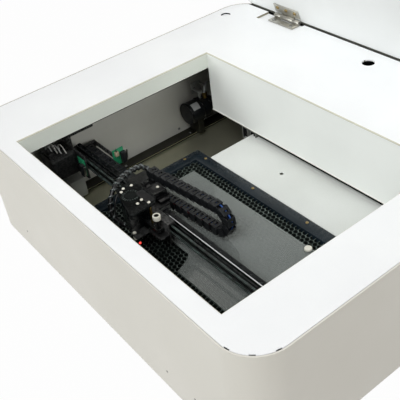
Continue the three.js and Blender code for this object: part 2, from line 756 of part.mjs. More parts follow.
function laserBody() {
  const { left, right, front, rear, low, high } = HEAD;
  const fins = [];
  for (let z = low + FINS.first; z < high - FINS.last; z += FINS.pitch) {
    fins.push(block(left - 1, left + FINS.deep, front - 1, rear - FINS.deep - 1, z, z + FINS.slot));
    fins.push(block(left - 1, right + 1, front - 1, front + FINS.deep, z, z + FINS.slot));
  }
  const recess = post(FAN.x, FAN.y, high - FAN.recess, high + 1, FAN.radius, 32);
  const lug = block(right - 1, LUG.right, LUG.front, LUG.rear, LUG.low, LUG.high);
  const stem = post(KNOB.x, KNOB.y, LUG.low - 1, LUG.high + 1, LUG.bore);
  const room = raised(coverPlan(), low - 1, high + 1).translate([0, COVER.ledge, 0]);
  const body = cutBy(block(left, right, front, rear, low, high), [...fins, recess]).intersect(room);
  return joined([body, lug]).subtract(stem);
}

function coverPlan() {
  return new THREE.Shape(COVER.plan.map(([x, y]) => new THREE.Vector2(x, y)));
}

// The top plate: a slanted front edge, cut corners and a round opening over the fan.
function headCover() {
  const low = HEAD.high + GAP;
  const opening = post(FAN.x, FAN.y, low - 1, low + COVER.thick + 1, FAN.radius, 32);
  return raised(coverPlan(), low, low + COVER.thick).subtract(opening);
}

// A hub with slanted blades round it, its axis along Z from the origin.
function fanWheel(hub, tip, blades, height) {
  const pieces = [post(0, 0, 0, height, hub)];
  for (let i = 0; i < blades; i += 1) {
    const blade = block(hub - 2, tip, -0.8, 0.8, -height * 0.75, height * 0.75);
    const slanted = blade.rotate([50, 0, 0]);
    pieces.push(slanted.translate([0, 0, height / 2]).rotate([0, 0, (i * 360) / blades]));
  }
  const room = post(0, 0, 0, height, tip + 2);
  return joined(pieces).intersect(room);
}

function headFan() {
  return fanWheel(FAN.hub, FAN.blade, FAN.blades, 8).translate([FAN.x, FAN.y, HEAD.high - 8.5]);
}

function laserNozzle() {
  const top = HEAD.low - GAP;
  const low = top - NOZZLE.length;
  return turned(
    [
      [NOZZLE.bore, low],
      [NOZZLE.narrow, low],
      [NOZZLE.wide, top - NOZZLE.collar],
      [NOZZLE.wide, top],
      [NOZZLE.bore, top],
      [NOZZLE.bore, low],
    ],
    NOZZLE.x,
    NOZZLE.y,
  );
}

// The hollow thumb knob with its threaded stem.
function focusKnob() {
  const { x, y, radius, bore, low, high, stem, stemLow } = KNOB;
  const grip = post(x, y, low, high, radius).subtract(post(x, y, low + 3, high + 1, bore));
  return grip.add(post(x, y, stemLow, low + 1, stem));
}

function focusGuide() {
  return post(GUIDE.x, GUIDE.y, LUG.high + GAP, HEAD.high, GUIDE.radius);
}

// The wrapped cables, looping from the chain's end over the head and down its front.
function wireBundle() {
  const startX = CHAIN_RUN.end - BUNDLE.reach;
  const path = new THREE.CatmullRomCurve3([
    new THREE.Vector3(startX, chainY(startX), BUNDLE.startZ),
    ...BUNDLE.route.map(([x, y, z]) => new THREE.Vector3(x, y, z)),
  ]);
  const ring = new THREE.Shape();
  ring.absarc(0, 0, BUNDLE.radius, 0, Math.PI * 2, false);
  return solidOf(
    new THREE.ExtrudeGeometry(ring, {
      steps: 48,
      curveSegments: 10,
      bevelEnabled: false,
      extrudePath: path,
    }),
  );
}

// A small circuit board carrying a lever switch; its lever is a piece of its own.
function switchBoard() {
  const right = SWITCH.left + SWITCH.width;
  return joined([
    block(SWITCH.left, right, 0, SWITCH.board, SWITCH.low, SWITCH.high),
    block(right - 7, right + 1, -SWITCH.body, 0.5, SWITCH.low + 2, SWITCH.high - 7),
  ]);
}

// The lever lies along Z, hinged at its foot about Y.
function switchLever() {
  const right = SWITCH.left + SWITCH.width + 1 + GAP + SWITCH.lever;
  const strip = block(
    -SWITCH.lever / 2,
    SWITCH.lever / 2,
    -SWITCH_LEVER.width / 2,
    SWITCH_LEVER.width / 2,
    -1,
    SWITCH_LEVER.length,
  );
  const middle = -SWITCH.body / 2;
  return strip.rotate([0, SWITCH_LEVER.lean, 0]).translate([right, middle, SWITCH_LEVER.pivotZ]);
}

function onFrontPlate(solid) {
  return solid.translate([0, X_DRIVE.plateFront - GAP - SWITCH.board, 0]);
}

// The rear switch stands across the arm's end, turned so that its lever looks rearwards.
function onRearArm(solid) {
  const right = SWITCH.left + SWITCH.width;
  const turnedBack = solid.translate([-right, 0, -REAR_SWITCH.lower]).rotate([0, 0, 90]);
  return turnedBack.translate([SWITCH_ARM.right + GAP + SWITCH.board, REAR_SWITCH.rear, 0]);
}

function airPump() {
  const rear = PUMP.front + PUMP.length;
  return joined([
    rodY(PUMP.front, rear, PUMP.x, PUMP.z, PUMP.radius, 32),
    rodY(rear - 1, rear + PUMP.neckLength, PUMP.x, PUMP.z, PUMP.neck),
    rodY(rear + PUMP.neckLength - 1, rear + PUMP.neckLength + 9, PUMP.x, PUMP.z + 5, 3, 12),
    block(
      PUMP.x - PUMP_FOOT.halfWidth,
      PUMP.x + PUMP_FOOT.halfWidth,
      PUMP.front + 14,
      PUMP.front + 14 + PUMP_FOOT.thick,
      PUMP_FOOT.low,
      PUMP.z,
    ),
  ]);
}

function powerSupply() {
  const { left, right, front, rear, low, high } = SUPPLY;
  const slots = [];
  const { margin, pitch, width, inset, deep } = SUPPLY_SLOTS;
  for (let x = left + margin; x < right - margin; x += pitch) {
    slots.push(block(x, x + width, front + inset, rear - inset, high - deep, high + 1));
  }
  return cutBy(block(left, right, front, rear, low, high), slots);
}

function controlBoard() {
  const { left, right, front, rear, low, thick } = BOARD;
  const floor = CASE.bottom + CASE.sheet + GAP;
  const top = low + thick;
  const legs = [];
  for (const x of [left + BOARD_LEG.inset, right - BOARD_LEG.inset]) {
    for (const y of [front + BOARD_LEG.inset, rear - BOARD_LEG.inset]) {
      legs.push(post(x, y, floor, low + 0.5, BOARD_LEG.radius, 12));
    }
  }
  const parts = BOARD_PARTS.map((part) => {
    const x = left + part.x;
    const y = front + part.y;
    return block(x, x + part.width, y, y + part.depth, top - 0.5, top + part.height);
  });
  return joined([block(left, right, front, rear, low, top), ...parts, ...legs]);
}

function driverBox() {
  return block(BOX.left, BOX.right, BOX.front, BOX.rear, BOX.low, BOX.high);
}

// A square fan frame against the rear wall, with three struts to the motor disc on its inner side.
function exhaustFan() {
  const half = EXHAUST.side / 2;
  const rear = CASE.halfDepth - CASE.sheet - GAP;
  const front = rear - EXHAUST.depth;
  const shell = block(EXHAUST.x - half, EXHAUST.x + half, front, rear, EXHAUST.z - half, EXHAUST.z + half);
  const bore = rodY(front - 1, rear + 1, EXHAUST.x, EXHAUST.z, EXHAUST.bore, 36);
  const struts = [90, 210, 330].map((degrees) =>
    block(0, EXHAUST.bore + 1, 0, 2.4, -2.5, 2.5)
      .rotate([0, degrees, 0])
      .translate([EXHAUST.x, front, EXHAUST.z]),
  );
  const disc = rodY(front, front + 2.4, EXHAUST.x, EXHAUST.z, EXHAUST.hub);
  return joined([shell.subtract(bore), disc, ...struts]);
}

function exhaustRotor() {
  const front = CASE.halfDepth - CASE.sheet - GAP - EXHAUST.depth + 3.4;
  const wheel = fanWheel(EXHAUST.hub, EXHAUST.blade, EXHAUST.blades, 18).rotate([-90, 0, 0]);
  return wheel.translate([EXHAUST.x, front, EXHAUST.z]);
}

function powerInlet() {
  const face = CASE.halfDepth + GAP;
  const { x, z, width, height, depth } = INLET;
  const flange = block(
    x - width / 2,
    x + width / 2,
    face,
    face + INLET.face,
    z - height / 2,
    z + height / 2,
  );
  const body = block(x - width / 2 + 5, x + width / 2 - 5, face - depth, face + 1, z - 10, z + 10);
  const { halfWidth, halfHeight, floor, pins, pinHalf, pinTall } = INLET_SOCKET;
  const outer = face + INLET.face + 1;
  const inner = face - depth + floor;
  const socket = block(x - halfWidth, x + halfWidth, inner, outer, z - halfHeight, z + halfHeight);
  const blades = pins.map((offset) =>
    block(x + offset - pinHalf, x + offset + pinHalf, inner - 1, face - 2, z - pinTall, z + pinTall),
  );
  return joined([cutBy(joined([flange, body]), [socket]), ...blades]);
}

function powerSwitch() {
  const face = CASE.halfDepth + GAP;
  const { width, height, depth, slot } = SWITCH_BODY;
  const { x, z } = ROCKER;
  const flange = block(
    x - width / 2,
    x + width / 2,
    face,
    face + INLET.face,
    z - height / 2,
    z + height / 2,
  );
  const body = block(x - width / 2 + 3, x + width / 2 - 3, face - depth, face + 1, z - 13.5, z + 13.5);
  const room = block(x - 6.5, x + 6.5, face - depth + 3, face + INLET.face + 1, z - slot / 2, z + slot / 2);
  return joined([flange, body]).subtract(room);
}

// The rocker, resting with its lower half pushed in.
function powerRocker() {
  const { x, y, z, width, height, depth, tilt } = ROCKER;
  const cap = block(-width / 2, width / 2, -depth, 0, -height / 2, height / 2);
  const stub = rodX(-width / 2, width / 2, -depth + 1, 0, 3.5);
  return joined([cap, stub]).rotate([-tilt, 0, 0]).translate([x, y, z]);
}

function addCase() {
  addPiece("side_shell", sideShell(), whitePaint);
  addPiece("base_pan", basePan(), zinc);
  addPiece("top_panel", topPanel(), whitePaint);
  addPiece("skirt_frame", skirtFrame(), whitePaint);
  addPiece("skirt_rear", skirtRear(), whitePaint);
  addPiece("inner_wall_left", innerWall(), greyPaint);
  addPiece("inner_wall_right", mirroredX(innerWall()), greyPaint);
  addPiece("foot_front_left", foot(-FOOT.x, -FOOT.y), rubber);
  addPiece("foot_front_right", foot(FOOT.x, -FOOT.y), rubber);
  addPiece("foot_rear_left", foot(-FOOT.x, FOOT.y), rubber);
  addPiece("foot_rear_right", foot(FOOT.x, FOOT.y), rubber);
}

function addLid() {
  const swing = new THREE.Group();
  swing.position.set(0, PIN.y, PIN.z);
  swing.rotation.x = (-LID.openAngle * Math.PI) / 180;
  const shut = new THREE.Group();
  shut.position.set(0, -PIN.y, -PIN.z);
  swing.add(shut);
  machine.add(swing);
  addPiece("lid_panel", lidPanel(), whitePaint, shut);
  addPiece("hinge_left_upper", hingeUpper(-HINGE.x), steel, shut);
  addPiece("hinge_right_upper", hingeUpper(HINGE.x), steel, shut);
  addPiece("hinge_left_lower", hingeLower(-HINGE.x), steel);
  addPiece("hinge_right_lower", hingeLower(HINGE.x), steel);
}

function addBed() {
  addPiece("bed_tray", bedTray(), blackMetal);
  addPiece("bed_mesh", bedMesh(), blackMetal);
  addPiece("bed_plate", bedPlate(), whitePaint);
  addPiece("clear_sheet", clearSheet(), clearPlastic);
  addPiece("sheet_magnet", sheetMagnet(), whitePlastic);
}

function addYDrive() {
  addPiece("y_rail_left", yRail(), steel);
  addPiece("y_rail_right", mirroredX(yRail()), steel);
  addPiece("y_motor", yMotor(), blackMetal);
  addPiece("y_drive_shaft", yDriveShaft(), steel);
  addPiece("y_idler_left", yIdler(), steel);
  addPiece("y_idler_right", mirroredX(yIdler()), steel);
  addPiece("y_belt_left", yBelt(), rubber);
  addPiece("y_belt_right", mirroredX(yBelt()), rubber);
}

function addGantry() {
  addPiece("gantry_beam", gantryBeam(), blackMetal);
  addPiece("x_rail", xRail(), steel);
  addPiece("gantry_end_left", gantryEndLeft(), blackMetal);
  addPiece("gantry_end_right", gantryEndRight(), blackMetal);
  addPiece("x_motor", xMotor(), blackMetal);
  addPiece("x_pulley", pulleyY(X_DRIVE.motorX, X_DRIVE.plateFront - 6), steel);
  addPiece("x_idler", pulleyY(X_DRIVE.idlerX, X_DRIVE.plateFront - 1), steel);
  addPiece("x_belt", xBelt(), rubber);
  addPiece("drag_chain", dragChain(), blackPlastic);
  addPiece("endstop_x", onFrontPlate(switchBoard()), greenBoard);
  addPiece("endstop_x_lever", onFrontPlate(switchLever()), steel);
  addPiece("endstop_y", onRearArm(switchBoard()), greenBoard);
  addPiece("endstop_y_lever", onRearArm(switchLever()), steel);
}

function addCarriage() {
  addPiece("carriage_block", carriageBlock(), steel);
  addPiece("carriage_plate", carriagePlate(), blackMetal);
  addPiece("wire_bundle", wireBundle(), blackPlastic);
  addPiece("laser_body", laserBody(), blackMetal);
  addPiece("head_cover", headCover(), blackPlastic);
  addPiece("head_fan", headFan(), blackPlastic);
  addPiece("laser_nozzle", laserNozzle(), brass);
  addPiece("focus_knob", focusKnob(), whitePlastic);
  addPiece("focus_guide", focusGuide(), brass);
}

function addElectrics() {
  addPiece("air_pump", airPump(), blackPlastic);
  addPiece("power_supply", powerSupply(), steel);
  addPiece("control_board", controlBoard(), greenBoard);
  addPiece("driver_box", driverBox(), greyCase);
  addPiece("exhaust_fan", exhaustFan(), blackPlastic);
  addPiece("exhaust_rotor", exhaustRotor(), blackPlastic);
  addPiece("power_inlet", powerInlet(), blackPlastic);
  addPiece("power_switch", powerSwitch(), blackPlastic);
  addPiece("power_rocker", powerRocker(), blackPlastic);
}

addCase();
addLid();
addBed();
addYDrive();
addGantry();
addCarriage();
addElectrics();

// The rear fittings stand proud of the case, so the middle of the whole depth lies a little behind its own.
machine.position.y = -(GAP + INLET.face) / 2;

export default machine;
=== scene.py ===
import math
import random
import bpy
from mathutils import Matrix, Vector


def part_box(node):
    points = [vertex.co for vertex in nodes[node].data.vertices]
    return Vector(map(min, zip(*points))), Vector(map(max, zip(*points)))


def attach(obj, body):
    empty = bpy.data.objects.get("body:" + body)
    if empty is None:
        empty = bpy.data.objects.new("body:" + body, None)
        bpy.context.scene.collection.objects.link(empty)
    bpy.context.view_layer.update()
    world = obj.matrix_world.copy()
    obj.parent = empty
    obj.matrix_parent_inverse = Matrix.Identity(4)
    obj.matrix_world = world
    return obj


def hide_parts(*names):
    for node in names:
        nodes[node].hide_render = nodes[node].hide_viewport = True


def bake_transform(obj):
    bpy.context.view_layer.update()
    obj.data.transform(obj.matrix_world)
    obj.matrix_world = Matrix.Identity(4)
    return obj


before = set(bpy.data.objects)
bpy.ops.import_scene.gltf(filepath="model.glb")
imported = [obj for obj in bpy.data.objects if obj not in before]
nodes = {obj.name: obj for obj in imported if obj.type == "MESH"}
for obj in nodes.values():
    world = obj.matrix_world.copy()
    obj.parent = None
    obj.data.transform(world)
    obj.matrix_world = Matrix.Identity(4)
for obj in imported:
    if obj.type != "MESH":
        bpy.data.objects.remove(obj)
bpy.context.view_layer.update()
mm = 0.001
slack = 0.0001
caseLow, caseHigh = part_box("side_shell")
caseMiddle = (caseLow + caseHigh) / 2
print("frame loaded,", len(nodes), "nodes")


def at(x, y, z):  # millimetres from the middle of the case, z from the table
    return Vector((caseMiddle.x + x * mm, caseMiddle.y + y * mm, z * mm))


# selecting


def letGo():
    bpy.ops.object.select_all(action="DESELECT")


def take(obj):
    letGo()
    obj.select_set(True)
    bpy.context.view_layer.objects.active = obj
    return obj


def pick(obj, kind, chosen):  # leaves obj in edit mode with these faces or edges selected
    take(obj)
    bpy.context.tool_settings.mesh_select_mode = (False, kind == "edges", kind == "polygons")
    for name in ("vertices", "edges", "polygons"):
        items = getattr(obj.data, name)
        items.foreach_set("select", chosen if name == kind else [False] * len(items))
    bpy.ops.object.mode_set(mode="EDIT")


def pickFaces(obj, wanted):
    pick(obj, "polygons", [bool(wanted(face.center, face.normal)) for face in obj.data.polygons])


def pickEdges(obj, wanted):
    ends = [[obj.data.vertices[i].co for i in edge.vertices] for edge in obj.data.edges]
    pick(obj, "edges", [bool(wanted(a, b)) for a, b in ends])


def pickAll(obj):
    take(obj)
    bpy.ops.object.mode_set(mode="EDIT")
    bpy.ops.mesh.select_all(action="SELECT")


def done():
    bpy.ops.object.mode_set(mode="OBJECT")


# small edits on what is picked, in metres


def deleted(obj, wanted):
    pickFaces(obj, wanted)
    bpy.ops.mesh.delete(type="FACE")
    done()


def bevelled(obj, wanted, width, segments):
    pickEdges(obj, wanted)
    bpy.ops.mesh.bevel(offset=width, segments=segments, affect="EDGES")
    done()


def extruded(step):
    bpy.ops.mesh.extrude_region_move(TRANSFORM_OT_translate={"value": step})
    done()


def sunk(obj, wanted, rim, step):  # faces inset, then pushed in
    pickFaces(obj, wanted)
    bpy.ops.mesh.inset(thickness=rim)
    extruded(step)


def same(first, second):
    return abs(first - second) < slack


def within(place, low, high, spare=0.0):  # in plan
    return low.x - spare < place.x < high.x + spare and low.y - spare < place.y < high.y + spare


# starting shapes, with their place in the mesh


def newObject(name, data):
    made = bpy.data.objects.new(name, data)
    bpy.context.scene.collection.objects.link(made)
    return made


def settle(obj, name):
    take(obj)
    bpy.ops.object.transform_apply(location=True, rotation=True, scale=True)
    obj.name = name
    return obj


def primitive(kind, name, **settings):
    letGo()
    getattr(bpy.ops.mesh, f"primitive_{kind}_add")(**settings)
    return settle(bpy.context.object, name)


def block(name, low, high):
    low, high = Vector(low), Vector(high)
    return primitive("cube", name, size=1, location=(low + high) / 2, scale=high - low)


def rod(name, start, end, radius, sides=32, caps="NGON"):
    start, end = Vector(start), Vector(end)
    along = end - start
    return primitive("cone", name, vertices=sides, radius1=radius, radius2=radius, depth=along.length,
                     end_fill_type=caps, location=(start + end) / 2, rotation=along.to_track_quat("Z", "Y").to_euler())


def ball(name, centre, radius, scale=(1, 1, 1), sides=20):
    return primitive("uv_sphere", name, radius=radius, location=centre, scale=scale, segments=sides,
                     ring_count=sides // 2)


def hoop(name, centre, radius, thick, sides):  # a ring about an axis along Y
    return primitive("torus", name, major_radius=radius, minor_radius=thick, major_segments=sides,
                     minor_segments=8, location=centre, rotation=(math.pi / 2, 0, 0))


def tube(name, points, radius, steps=8, sides=6):  # a wire on a smooth line
    letGo()
    curve = bpy.data.curves.new(name, "CURVE")
    curve.dimensions = "3D"
    curve.bevel_depth = radius
    curve.bevel_resolution = sides // 2
    curve.resolution_u = steps
    curve.use_fill_caps = True
    line = curve.splines.new("BEZIER")
    line.bezier_points.add(len(points) - 1)
    for point, place in zip(line.bezier_points, points):
        point.co = place
        point.handle_left_type = point.handle_right_type = "AUTO"
    take(newObject(name, curve))
    bpy.ops.object.convert(target="MESH")
    return smooth(bpy.context.object, 60)


# finishing


def modified(obj, kind, **settings):  # a modifier, applied at once
    modifier = obj.modifiers.new(kind, kind)
    for key, value in settings.items():
        setattr(modifier, key, value)
    take(obj)
    bpy.ops.object.modifier_apply(modifier=modifier.name)
    return obj


def smooth(obj, angle=35):
    take(obj)
    bpy.ops.object.shade_smooth_by_angle(angle=math.radians(angle))
    return obj


def soften(obj, width=0.4, segments=2, angle=35):  # width in millimetres
    modified(obj, "BEVEL", width=width * mm, segments=segments, limit_method="ANGLE", angle_limit=math.radians(angle))
    return smooth(obj, 40)


def evened(obj):  # flat faces keep flat shading beside holes and folds
    return modified(obj, "WEIGHTED_NORMAL", keep_sharp=True, weight=100)


def walled(obj, thickness, offset=-1):
    return modified(obj, "SOLIDIFY", thickness=thickness * mm, offset=offset, use_even_offset=True)


def cut(obj, tools):
    for tool in tools:
        modified(obj, "BOOLEAN", operation="DIFFERENCE", solver="EXACT", object=tool)
    drop(tools)
    return obj


def drop(objects):
    for obj in objects:
        bpy.data.objects.remove(obj)


def joined(parts, name):
    take(parts[0])
    for part in parts[1:]:
        part.select_set(True)
    if len(parts) > 1:
        bpy.ops.object.join()
    parts[0].name = name
    return parts[0]


def copyOf(obj, matrix):
    made = newObject(obj.name + "Copy", obj.data.copy())
    made.data.transform(matrix)
    return made


def placed(centre, toward, size, spin):  # for models made at the origin, up along Z
    turn = Vector(toward).to_track_quat("Z", "Y").to_matrix().to_4x4()
    spun = Matrix.Rotation(math.radians(spin), 4, "Z")
    return Matrix.Translation(centre) @ turn @ spun @ Matrix.Scale(size, 4)


def turnedAbout(centre, axis, degrees):
    there = Matrix.Translation(centre)
    return there @ Matrix.Rotation(math.radians(degrees), 4, axis) @ there.inverted()


def fromNode(node, name, width, segments=2, cuts=()):  # a merged copy of a CAD node, edges softened
    made = newObject(name, nodes[node].data.copy())
    made.data.materials.clear()
    pickAll(made)
    bpy.ops.mesh.remove_doubles(threshold=0.00001)
    bpy.ops.mesh.dissolve_limited(angle_limit=math.radians(1))
    done()
    if cuts:
        cut(made, cuts)
    soften(made, width, segments)
    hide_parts(node)
    return made


def painted(obj, material):
    obj.data.materials.clear()
    obj.data.materials.append(material)
    return obj


def ready(obj, body, material):  # paint, place on its body
    painted(obj, material)
    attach(obj, body)
    return obj


# shader groups that several finishes share


def feed(made, values):  # sockets are linked, plain values are set
    for label, value in values.items():
        if isinstance(value, bpy.types.NodeSocket):
            made.id_data.links.new(value, made.inputs[label])
        else:
            made.inputs[label].default_value = value
    return made


def node(tree, kind, values=None, **settings):
    made = tree.nodes.new(kind)
    for key, value in settings.items():
        setattr(made, key, value)
    return feed(made, values or {})


def mathNode(tree, operation, first, second, clamp=False):
    return node(tree, "ShaderNodeMath", {0: first, 1: second}, operation=operation, use_clamp=clamp).outputs[0]


def mixColour(tree, factor, first, second):
    return node(tree, "ShaderNodeMix", {0: factor, 6: first, 7: second}, data_type="RGBA").outputs[2]


def noise(tree, vector, scale, detail=3.0, rough=0.5):
    values = {"Vector": vector, "Scale": scale, "Detail": detail, "Roughness": rough}
    return node(tree, "ShaderNodeTexNoise", values).outputs["Fac"]


def ramp(tree, value, low, high, lowTo=0.0, highTo=1.0):
    values = {"Value": value, "From Min": low, "From Max": high, "To Min": lowTo, "To Max": highTo}
    return node(tree, "ShaderNodeMapRange", values, clamp=True).outputs["Result"]


def shaderGroup(name, inputs, outputs):
    group = bpy.data.node_groups.new(name, "ShaderNodeTree")
    group.interface.new_socket("Vector", in_out="INPUT", socket_type="NodeSocketVector")
    for label, value in inputs.items():
        kind = "Float" if isinstance(value, float) else "Color" if len(value) == 4 else "Vector"
        group.interface.new_socket(label, in_out="INPUT", socket_type="NodeSocket" + kind).default_value = value
    for label, kind in outputs.items():
        group.interface.new_socket(label, in_out="OUTPUT", socket_type="NodeSocket" + kind)
    return group, group.nodes.new("NodeGroupInput").outputs, group.nodes.new("NodeGroupOutput")


def maskedGroup(name, inputs, makeMask, first, second):  # two of its tones, mixed by a mask
    group, given, end = shaderGroup(name, inputs, {"Colour": "Color"})
    feed(end, {"Colour": mixColour(group, makeMask(group, given), given[first], given[second])})
    return group


def mottleMask(group, given):  # soft patches, with fine specks
    patches = ramp(group, noise(group, given["Vector"], given["Patch Scale"], 4.0), 0.35, 0.65)
    specks = ramp(group, noise(group, given["Vector"], 900.0, 2.0), 0.42, 0.62)
    return mathNode(group, "ADD", patches, mathNode(group, "MULTIPLY", specks, given["Specks"]), clamp=True)


def wearMask(group, given):  # rubbed edges, from how pointed the surface is
    edges = ramp(group, group.nodes.new("ShaderNodeNewGeometry").outputs["Pointiness"], 0.53, 0.62)
    broken = ramp(group, noise(group, given["Vector"], 260.0, 5.0, 0.65), 0.4, 0.6)
    return mathNode(group, "MULTIPLY", mathNode(group, "MULTIPLY", edges, broken), given["Amount"], clamp=True)


def dustMask(group, given):  # a thin film on what faces up
    facing = node(group, "ShaderNodeSeparateXYZ", {0: group.nodes.new("ShaderNodeNewGeometry").outputs["Normal"]})
    up = ramp(group, facing.outputs["Z"], 0.3, 0.95)
    wide = ramp(group, noise(group, given["Vector"], 14.0, 5.0, 0.6), 0.35, 0.7)
    fine = ramp(group, noise(group, given["Vector"], 700.0, 2.0, 0.5), 0.35, 0.65)
    share = mathNode(group, "MULTIPLY", mathNode(group, "MULTIPLY", wide, fine), up)
    return mathNode(group, "MULTIPLY", share, given["Amount"], clamp=True)


def makeGrain():  # fine relief: orange peel, brushing or moulded texture, by its stretch
    inputs = {"Stretch": (1, 1, 1), "Scale": 500.0, "Roughness": 0.4, "Spread": 0.1}
    group, given, end = shaderGroup("fineGrain", inputs, {"Height": "Float", "Roughness": "Float"})
    stretched = node(group, "ShaderNodeVectorMath", {0: given["Vector"], 1: given["Stretch"]}, operation="MULTIPLY")
    height = noise(group, stretched.outputs[0], given["Scale"], 3.0, 0.55)
    smudge = noise(group, given["Vector"], 22.0, 5.0, 0.6)
    both = mathNode(group, "ADD", mathNode(group, "MULTIPLY", smudge, 0.7), mathNode(group, "MULTIPLY", height, 0.3))
    centred = mathNode(group, "MULTIPLY", mathNode(group, "SUBTRACT", both, 0.5), given["Spread"])
    rough = mathNode(group, "ADD", given["Roughness"], mathNode(group, "MULTIPLY", centred, 4.0), clamp=True)
    feed(end, {"Height": height, "Roughness": rough})
    return group


white, black = (1, 1, 1, 1), (0, 0, 0, 1)
mottle = maskedGroup("mottle", {"Tone": white, "Other": white, "Patch Scale": 12.0, "Specks": 0.1}, mottleMask,
                     "Tone", "Other")
edgeWear = maskedGroup("edgeWear", {"Colour": black, "Bare": (0.5, 0.5, 0.5, 1), "Amount": 0.3}, wearMask,
                       "Colour", "Bare")
dustFilm = maskedGroup("dustFilm", {"Colour": black, "Dust": (0.4, 0.38, 0.34, 1), "Amount": 0.2}, dustMask,
                       "Colour", "Dust")
fineGrain = makeGrain()


def useGroup(tree, group, values):
    made = node(tree, "ShaderNodeGroup", node_tree=group)
    return feed(made, values).outputs


def linear(tone):  # a paint tone as seen, 0 to 255, to the light it stands for
    steps = [c / 255 for c in tone]
    return tuple(c / 12.92 if c <= 0.04045 else ((c + 0.055) / 1.055) ** 2.4 for c in steps) + (1.0,)


def newMaterial(name):
    material = bpy.data.materials.new(name)
    material.use_nodes = True
    tree = material.node_tree
    place = node(tree, "ShaderNodeTexCoord").outputs["Object"]
    return material, tree, tree.nodes["Principled BSDF"], place


def bumped(tree, height, strength, distance):
    values = {"Height": height, "Strength": strength, "Distance": distance}
    return node(tree, "ShaderNodeBump", values).outputs["Normal"]


plainLook = {"patch": 12.0, "specks": 0.1, "wear": 0.0, "bare": (150, 150, 148), "dust": 0.0, "grain": 500.0,
             "stretch": (1, 1, 1), "relief": 0.05, "rough": 0.4, "spread": 0.05, "metal": 0.0, "coat": 0.0,
             "shine": 0.5}  # patch and grain are scales, bare the tone of worn edges
powderLook = {"patch": 5.0, "specks": 0.2, "grain": 430.0, "relief": 0.1, "rough": 0.42}
brushedLook = {"grain": 350.0, "stretch": (0.03, 1, 1), "relief": 0.1, "dust": 0.05}


def finish(name, tone, other, **changes):
    look = {**plainLook, **changes}
    material, tree, shader, place = newMaterial(name)
    mottled = {"Vector": place, "Tone": linear(tone), "Other": linear(other), "Patch Scale": look["patch"],
               "Specks": look["specks"]}
    colour = useGroup(tree, mottle, mottled)["Colour"]
    if look["wear"]:
        worn = {"Vector": place, "Colour": colour, "Bare": linear(look["bare"]), "Amount": look["wear"]}
        colour = useGroup(tree, edgeWear, worn)["Colour"]
    if look["dust"]:
        colour = useGroup(tree, dustFilm, {"Vector": place, "Colour": colour, "Amount": look["dust"]})["Colour"]
    grain = useGroup(tree, fineGrain, {"Vector": place, "Stretch": look["stretch"], "Scale": look["grain"],
                                       "Roughness": look["rough"], "Spread": look["spread"]})
    feed(shader, {"Base Color": colour, "Roughness": grain["Roughness"], "Metallic": look["metal"],
                  "Coat Weight": look["coat"], "Specular IOR Level": look["shine"],
                  "Normal": bumped(tree, grain["Height"], look["relief"], 0.0006)})
    return material


def powderCoat(name, tone, other, **changes):
    return finish(name, tone, other, **{**powderLook, **changes})


def folded(name, tone, other, rough):  # powder coat on a narrow edge
    return powderCoat(name, tone, other, patch=20.0, specks=0.1, rough=rough)


def brushed(name, tone, other, **changes):
    return finish(name, tone, other, **{**brushedLook, **changes})


def turned(name, tone, other, rough, metal=1.0):
    return finish(name, tone, other, grain=900.0, relief=0.08, rough=rough, metal=metal)


whitePaint = powderCoat("whitePowderCoat", (246, 247, 247), (240, 241, 242))
# the upright shell in a darker, warmer tone than the top: painted shade for how light falls on its sides
shellShadedPaint = powderCoat("shellPaintedShade", (221, 218, 210), (216, 213, 204))
lidPaint = powderCoat("lidPowderCoat", (242, 244, 243), (236, 238, 237))
platePaint = powderCoat("platePowderCoat", (225, 228, 224), (217, 220, 215), patch=6.0, specks=0.3, rough=0.5,
                        dust=0.05)
# the skirts are the top's white sheet with painted light: side skirts darker and greener as shade, rear skirt brighter
# as lit
sideSkirtShade = powderCoat("sideSkirtShadedTone", (232, 237, 228), (225, 230, 221), patch=6.0, rough=0.45)
rearSkirtLit = powderCoat("rearSkirtLitTone", (250, 253, 249), (244, 247, 243), patch=6.0, rough=0.45)
hemPaint = folded("foldedEdge", (236, 236, 230), (226, 226, 219), 0.4)
# painted shade on the fold's bevel: a beige tone on the same white sheet
foldShade = folded("foldShadeTone", (204, 201, 184), (196, 193, 176), 0.42)
# painted shade on the walls of the hinge pockets
pocketShade = folded("pocketWallShade", (150, 145, 122), (136, 131, 108), 0.5)
# a dark band painted as the shade of the gap along the lid's rear
lidGapShade = finish("lidGapShadeTone", (96, 96, 90), (82, 82, 76), patch=20.0, grain=900.0, relief=0.2, rough=0.6, shine=0.2)
boreShade = finish("boreShade", (40, 38, 30), (28, 27, 21), grain=1500.0, relief=0.06, rough=0.6, shine=0.2)
slotGlint = finish("slotGlint", (132, 142, 136), (96, 104, 100), patch=90.0, grain=1500.0, relief=0.06, rough=0.3)
discGloss = finish("discGloss", (9, 15, 14), (6, 11, 10), patch=30.0, grain=1200.0, rough=0.3, shine=0.1)
coverGloss = finish("coverGloss", (3, 5, 5), (1, 2, 2), patch=30.0, grain=1200.0, rough=0.22, dust=0.02, shine=0.06,
                    wear=0.5, bare=(84, 88, 88))
